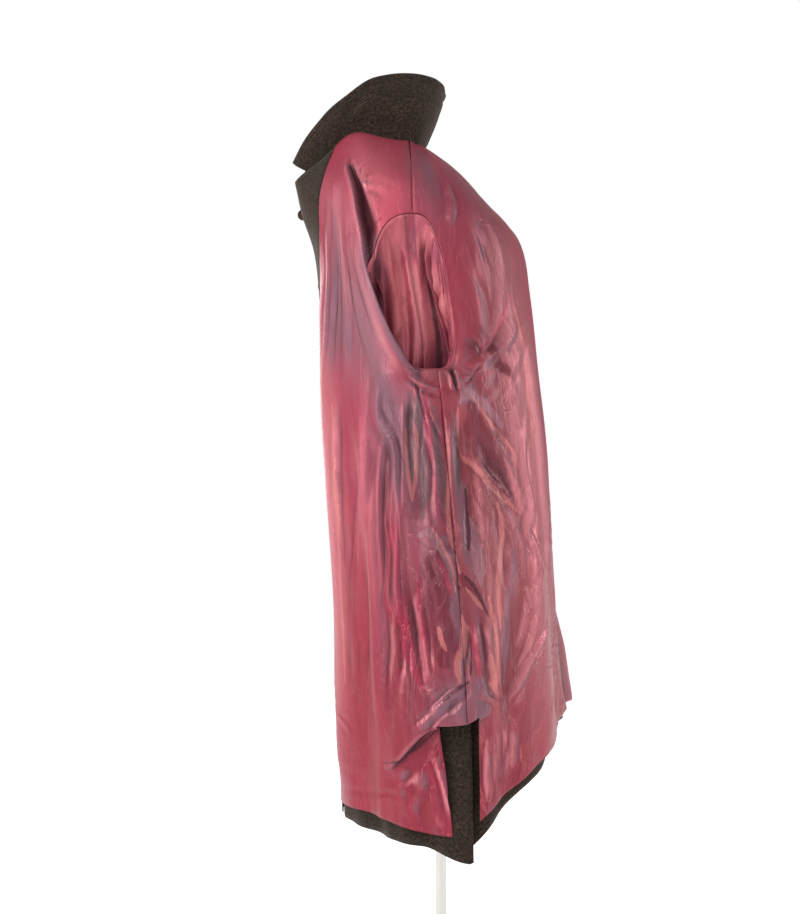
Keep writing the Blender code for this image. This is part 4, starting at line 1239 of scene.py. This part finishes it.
def back_wool(side, material):
    level = panel_levels(WOOL_TOP, WOOL_HEM, SLEEVE_ROOM, WOOL_ROWS)
    first = side_edge(1, level, SLEEVE_ROOM, WOOL_VENT[1]) + 0.12
    angle = spread(first, centre_back(level, 0.5 * MM), np.linspace(0, 1, 37))
    points, s, level = wool_grid(side, angle, level)
    near_edge = fall(0.0, 0.12, np.linspace(0, 1, angle.shape[1]))
    points[..., 0] -= side * near_edge * np.where(level >= VENT_TOP, WOOL_LAP, 0.0)
    return wool_shell("back_wool", side, points, s, level, material)


def armhole_loop(side, turns, grow, depth, creased):
    """Points round the armhole, down the front and up the back, at each turn."""
    step = hole_step(turns)
    front = np.sin(turns) >= 0
    angle = np.where(front, hole_edge(-1, step, grow)[0], hole_edge(1, step, grow)[0])
    level = hole_edge(-1, step, grow)[1]
    out = fold_height(drape_of(side), angle, level) - depth
    out = out + np.where(creased, np.maximum(raised_folds(angle, level), 0.0), 0.0)
    points = body_point(angle, level) + body_normal(angle, level) * out[..., None]
    points[..., 0] *= side
    return points


# Gathers of the sleeve lining round the armhole: the turn from the top towards the front, half width and height in mm
Gather = namedtuple("Gather", "turn half_width height")
GATHERS = (
    Gather(68, 9, 7),
    Gather(32, 15, 8),
    Gather(11, 5, 7),
    Gather(-5, 8, 9),
    Gather(-36, 6, 12),
    Gather(-54, 6, 9),
    Gather(-78, 8, 7),
)
SLEEVE_BULGE = 10 * MM


def sleeve(side, grow, end_share, count, rows, lining):
    """Rows of a sleeve's cloth, from the armhole's edge to its end inside the coat."""
    turns = np.linspace(0, 2 * np.pi, count, endpoint=False)
    start = -LINING_WALL - 0.4 * MM - (SLEEVE_SHRINK if not lining else 0.0) + grow
    shares = np.concatenate((np.zeros(5), np.linspace(0, 1, rows) ** 1.25 * end_share))
    turned = np.concatenate((np.linspace(0, 1, 6)[:5], np.ones(rows)))
    top = smooth(-0.2, 0.6, np.cos(turns))
    step = hole_step(turns)
    covered = smooth(2, 6, cover_turn(*hole_edge(-1, step, start))) * (np.sin(turns) > 0) * lining * 0.45
    grid = []
    for share, turn_in in zip(shares, turned):
        turn_in = covered + (1 - covered) * turn_in
        slow = smooth(0, 0.16, share)
        depth = SLEEVE_TURN_IN * (turn_in * (1 - top) + slow * top)
        shrink = SLEEVE_SHRINK * turn_in * lining
        if not lining:
            depth = SLEEVE_WOOL_DEPTH + (SLEEVE_TURN_IN - SLEEVE_WOOL_DEPTH) * np.maximum(turn_in * (1 - top), slow)
        fixed = armhole_loop(side, turns, start - shrink, depth, turn_in < 0.5)
        z = fixed[:, 2] + (CUFF_LEVEL - fixed[:, 2]) * share
        x = SLEEVE_MID_X - (SLEEVE_HALF_THICK + grow) * np.cos(turns)
        y = SLEEVE_MID_Y - (SLEEVE_HALF_WIDE + grow) * np.sin(turns)
        settle = smooth(0, 0.35, share)
        x = fixed[:, 0] + (x * side - fixed[:, 0]) * settle
        y = fixed[:, 1] + (y - fixed[:, 1]) * settle
        grid.append(np.stack((x, y, z), -1))
    return np.array(grid), turns


def sleeve_lining(side, material):
    grid, turns = sleeve(side, 0.0, SLEEVE_LINING_END, 200, 110, True)
    around = np.roll(grid, -1, axis=1) - np.roll(grid, 1, axis=1)
    down = np.gradient(grid, axis=0)
    normal = unit(np.cross(around, down)) * side
    drop = np.linalg.norm(np.diff(grid, axis=0), axis=-1)
    drop = np.concatenate((np.zeros((1, grid.shape[1])), np.cumsum(drop, axis=0)), 0)
    arc = cloth_arc(grid)
    degrees = np.degrees((turns + np.pi) % (2 * np.pi) - np.pi)[None, :]
    out = np.zeros(grid.shape[:2])
    seeds = np.random.RandomState(31 if side > 0 else 37)
    for gather in GATHERS:
        sway = 6 * np.sin(drop / 0.09 + seeds.uniform(0, 6))
        width = gather.half_width * (0.75 + 0.5 * smooth(0.0, 0.15, drop))
        out += gather.height * MM * bump((degrees - gather.turn - sway) / (width * 1.5)) * smooth(0.002, 0.06, drop)
    out += 0.9 * MM * noise(arc / 0.004, drop / 0.02, 41) * bell(drop, 0.03) * smooth(0.001, 0.006, drop)
    out += 1.3 * MM * noise(arc / 0.012, drop / 0.06, 43) * smooth(0.01, 0.05, drop)
    out += 3.0 * MM * np.abs(noise(arc / 0.030 + 4 * drop, drop / 0.028, 44)) * smooth(0.01, 0.05, drop)
    out -= 2.0 * MM * bell(degrees - 4, 1.3) * smooth(0.002, 0.02, drop)
    ragged = noise(degrees * 0 + 0.5, drop / 0.007, 45) * bump((degrees - 21) / 5) * smooth(0.005, 0.02, drop)
    out += 2.5 * MM * ragged * fall(0.07, 0.10, drop)
    out = soft_floor(out, 2.0 * MM)
    bulge = SLEEVE_BULGE * bump((degrees - 5) / 75) * smooth(0.03, 0.14, drop) * fall(0.25, 0.32, drop)
    grid = grid + normal * (out + bulge)[..., None]
    # Painted light on the sleeve's lining: a salmon painted highlight on lit slopes and streaks, grey where they turn
    # away, and painted shade in the gathers' troughs, in the strip behind the roll and farther down the sleeve.
    slope = np.gradient(out, axis=1) / 0.002
    streak = noise(arc / 0.018, drop / 0.16, 47)
    cloud = noise(arc / 0.045, drop / 0.045, 49)
    lit = 0.35 * streak + 0.3 * cloud + 0.4 * np.clip(slope, -1, 1)
    salmon, grey = np.clip(0.32 + lit, 0, 1), np.clip(0.10 - lit, 0, 0.8)
    deep = 0.35 * np.clip(0.7 - out / (5 * MM), 0, 1) * smooth(0.02, 0.07, drop) + smooth(0.17, 0.32, drop) * 0.3
    deep += 0.6 * bell(degrees - 4, 1.6) + 0.95 * bump((degrees + 20) / 9) * smooth(0.03, 0.06, drop)
    deep += 0.6 * bump((degrees - 50) / 8) * smooth(0.09, 0.15, drop)
    edge = smooth(0.003, 0.010, drop) * fall(0.03, 0.055, drop)
    deep += smooth(35, 60, degrees) * fall(120, 150, degrees) * edge
    layers = {"salmon": salmon, "grey": grey, "deep": np.clip(deep, 0, 1), "cloth": cloth_coordinates(arc, drop)}
    layers |= {"brown": np.zeros(arc.shape), "mottle": np.full(arc.shape, 0.3)}
    name = f"sleeve_lining_shell_{side_name(side)}"
    return add_grid(name, grid, material, LINING_WALL, ring=True, flip=side > 0, layers=layers)


def sleeve_wool(side, material):
    grid, _ = sleeve(side, SLEEVE_WOOL_OUT, 1.0, 64, 40, False)
    drop = np.linspace(0, 0.6, grid.shape[0])[:, None] * np.ones(grid.shape[:2])
    return wool_shell("sleeve_wool", side, grid, cloth_arc(grid), drop, material, ring=True, flip=side > 0)


def collar_foot(angle):
    here = body_point(angle, 0.0)
    along = body_point(np.minimum(angle + 2, CENTRE_BACK), 0.0) - body_point(angle - 2, 0.0)
    inward = unit(np.stack((-along[..., 1], along[..., 0], np.zeros(angle.shape)), -1))
    inside_facing = fall(58, 66, angle)
    return here + inward * (COLLAR_CLEAR + (COLLAR_CLEAR_FACING - COLLAR_CLEAR) * inside_facing)[..., None]


def collar_grid(columns, rows):
    """The collar's points from its upper edge to its foot, left notch to right notch."""
    angles = np.linspace(35, 180, columns)
    top = table_curve(COLLAR_TOP[:, 0], COLLAR_TOP[:, 1:], angles)
    foot = collar_foot(angles)
    mirror = np.array((-1.0, 1.0, 1.0))
    far = fall(35, 62, angles)[:, None]
    top = np.concatenate((top, ((top + far * COLLAR_FAR_END) * mirror)[-2::-1]))
    foot = np.concatenate((foot, (foot * mirror)[-2::-1]))
    along = np.concatenate((np.zeros(1), np.cumsum(np.linalg.norm(np.diff((foot + top) / 2, axis=0), axis=-1))))
    shares = np.linspace(0, 1, rows)[::-1]
    outward = unit(np.stack((foot[:, 0], foot[:, 1] + 0.10, np.zeros(len(foot))), -1))
    height = np.linalg.norm(top - foot, axis=-1)
    grid = []
    for share in shares:
        lean = max(0.0, (share - 0.07) / 0.93)
        row = foot + (top - foot) * lean**1.15
        row[:, 2] = foot[:, 2] - COLLAR_FOOT + (top[:, 2] - foot[:, 2] + COLLAR_FOOT) * share
        row += outward * COLLAR_BELLY * math.sin(math.pi * lean)
        grid.append(row)
    grid = np.array(grid)
    s = np.broadcast_to(along, grid.shape[:2])
    v = (1 - shares)[:, None] * height[None, :]
    ripple = 1.6 * MM * noise(s / 0.045, v / 0.05, 51) + 0.7 * MM * noise(s / 0.018, v / 0.02, 52)
    for centre, level, wide, tall, depth in COLLAR_DENTS:
        ripple += depth * MM * bell(s - centre, wide) * bell(v - level, tall)
    from_end = np.minimum(s, along[-1] - s)
    edge = np.minimum(v, from_end)
    groove = -1.8 * MM * bell(edge - 0.011, 0.0022)
    free = smooth(0.0, 0.03, height[None, :] - v)
    grid = grid + outward[None] * (ripple * free + groove)[..., None]
    return grid, s, v


def main_cloth():
    lining, wool = lining_material(), wool_material()
    for side in (1, -1):
        for build in (front_lining, back_lining, front_facing, front_wool, back_wool, sleeve_lining, sleeve_wool):
            kind = build.__name__
            material, slot_name = (lining, "lining") if kind.endswith("lining") else (wool, "wool")
            declare(build(side, material), f"{kind}_{side_name(side)}")
    grid, s, v = collar_grid(100, 46)
    piece = add_grid("collar_shell", grid, wool, COLLAR_WALL, layers={"cloth": cloth_coordinates(s, v)})
    declare(piece, "collar")


def hard_parts():
    """Finishes of the CAD nodes that stay: the buttons, the form, the pole and the base."""
    grey, pale = hex_linear(196, 194, 188), hex_linear(214, 212, 206)
    steel = plain_material("brushed_steel", grey, pale, 30.0, 0.28, 1.0, 0.00005, (1.0, 1.0, 0.02))
    horn = plain_material("horn_button", hex_linear(38, 28, 24), hex_linear(92, 66, 48), 120.0, 0.34)
    finishes = {"button": horn, "dress_form": linen_material(), "stand": steel}
    for name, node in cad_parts.items():
        for start, finish in finishes.items():
            if name.startswith(start):
                for place in node.material_slots:
                    place.material = finish


def light(name, place, size, energy):
    """A soft lamp that faces the coat's middle."""
    data = bpy.data.lights.new(name, "AREA")
    data.shape = "RECTANGLE"
    data.size, data.size_y = size
    data.energy = energy
    lamp = link(name, data)
    lamp.location = place
    lamp.rotation_euler = (Vector(COAT_MIDDLE) - Vector(place)).to_track_quat("-Z", "Y").to_euler()


def studio():
    """A white floor, soft lights and the camera, square to the coat's left side."""
    mesh = bpy.data.meshes.new("floor")
    reach = 30.0
    corners = [(-reach, -reach, 0), (reach, -reach, 0), (reach, reach, 0), (-reach, reach, 0)]
    mesh.from_pydata(corners, [], [(0, 1, 2, 3)])
    floor = link("floor", mesh)
    white = Nodes("floor_white")
    cloud = white.texture(white.place(), 0.6, 3.0)
    white.set(Base_Color=white.mix(cloud, (0.90, 0.90, 0.90), (0.93, 0.93, 0.93)))
    white.set(Roughness=0.9, Specular_IOR_Level=0.1)
    white.set(Emission_Color=(1.0, 1.0, 1.0), Emission_Strength=0.40)
    mesh.materials.append(white.material)
    sun = bpy.data.lights.new("soft_sun", "SUN")
    sun.energy = 1.5
    sun.angle = math.radians(60)
    link("soft_sun", sun).rotation_euler = Vector((1.6, -1.5, 2.6)).to_track_quat("Z", "Y").to_euler()
    light("key", (1.6, -2.8, 1.9), (0.9, 2.4), 50)
    light("fill", (3.2, 1.8, 1.4), (1.0, 2.2), 10)
    light("rim_back", (0.2, 2.8, 1.6), (0.9, 2.2), 34)
    light("far_side", (-2.8, -1.2, 1.8), (1.4, 2.2), 34)
    world = bpy.data.worlds.new("studio")
    world.use_nodes = True
    bpy.context.scene.world = world
    tree = world.node_tree
    background = tree.nodes["Background"]
    background.inputs[0].default_value = (1.0, 1.0, 1.0, 1.0)
    path = tree.nodes.new("ShaderNodeLightPath")
    strength = tree.nodes.new("ShaderNodeMapRange")
    strength.inputs[3].default_value, strength.inputs[4].default_value = 0.30, 1.0
    tree.links.new(path.outputs["Is Camera Ray"], strength.inputs[0])
    tree.links.new(strength.outputs[0], background.inputs[1])
    bpy.context.scene.view_settings.view_transform = "Standard"
    data = bpy.data.cameras.new("camera")
    data.sensor_width = 36.0
    data.sensor_fit = "AUTO"
    data.lens = PHOTO_FOCAL / PHOTO_HEIGHT * data.sensor_width
    camera = link("camera", data)
    camera.location = (2.6, -0.068, 0.92)
    camera.rotation_euler = (math.radians(90), 0, math.radians(90))
    bpy.context.scene.camera = camera


studio()
main_cloth()
hard_parts()
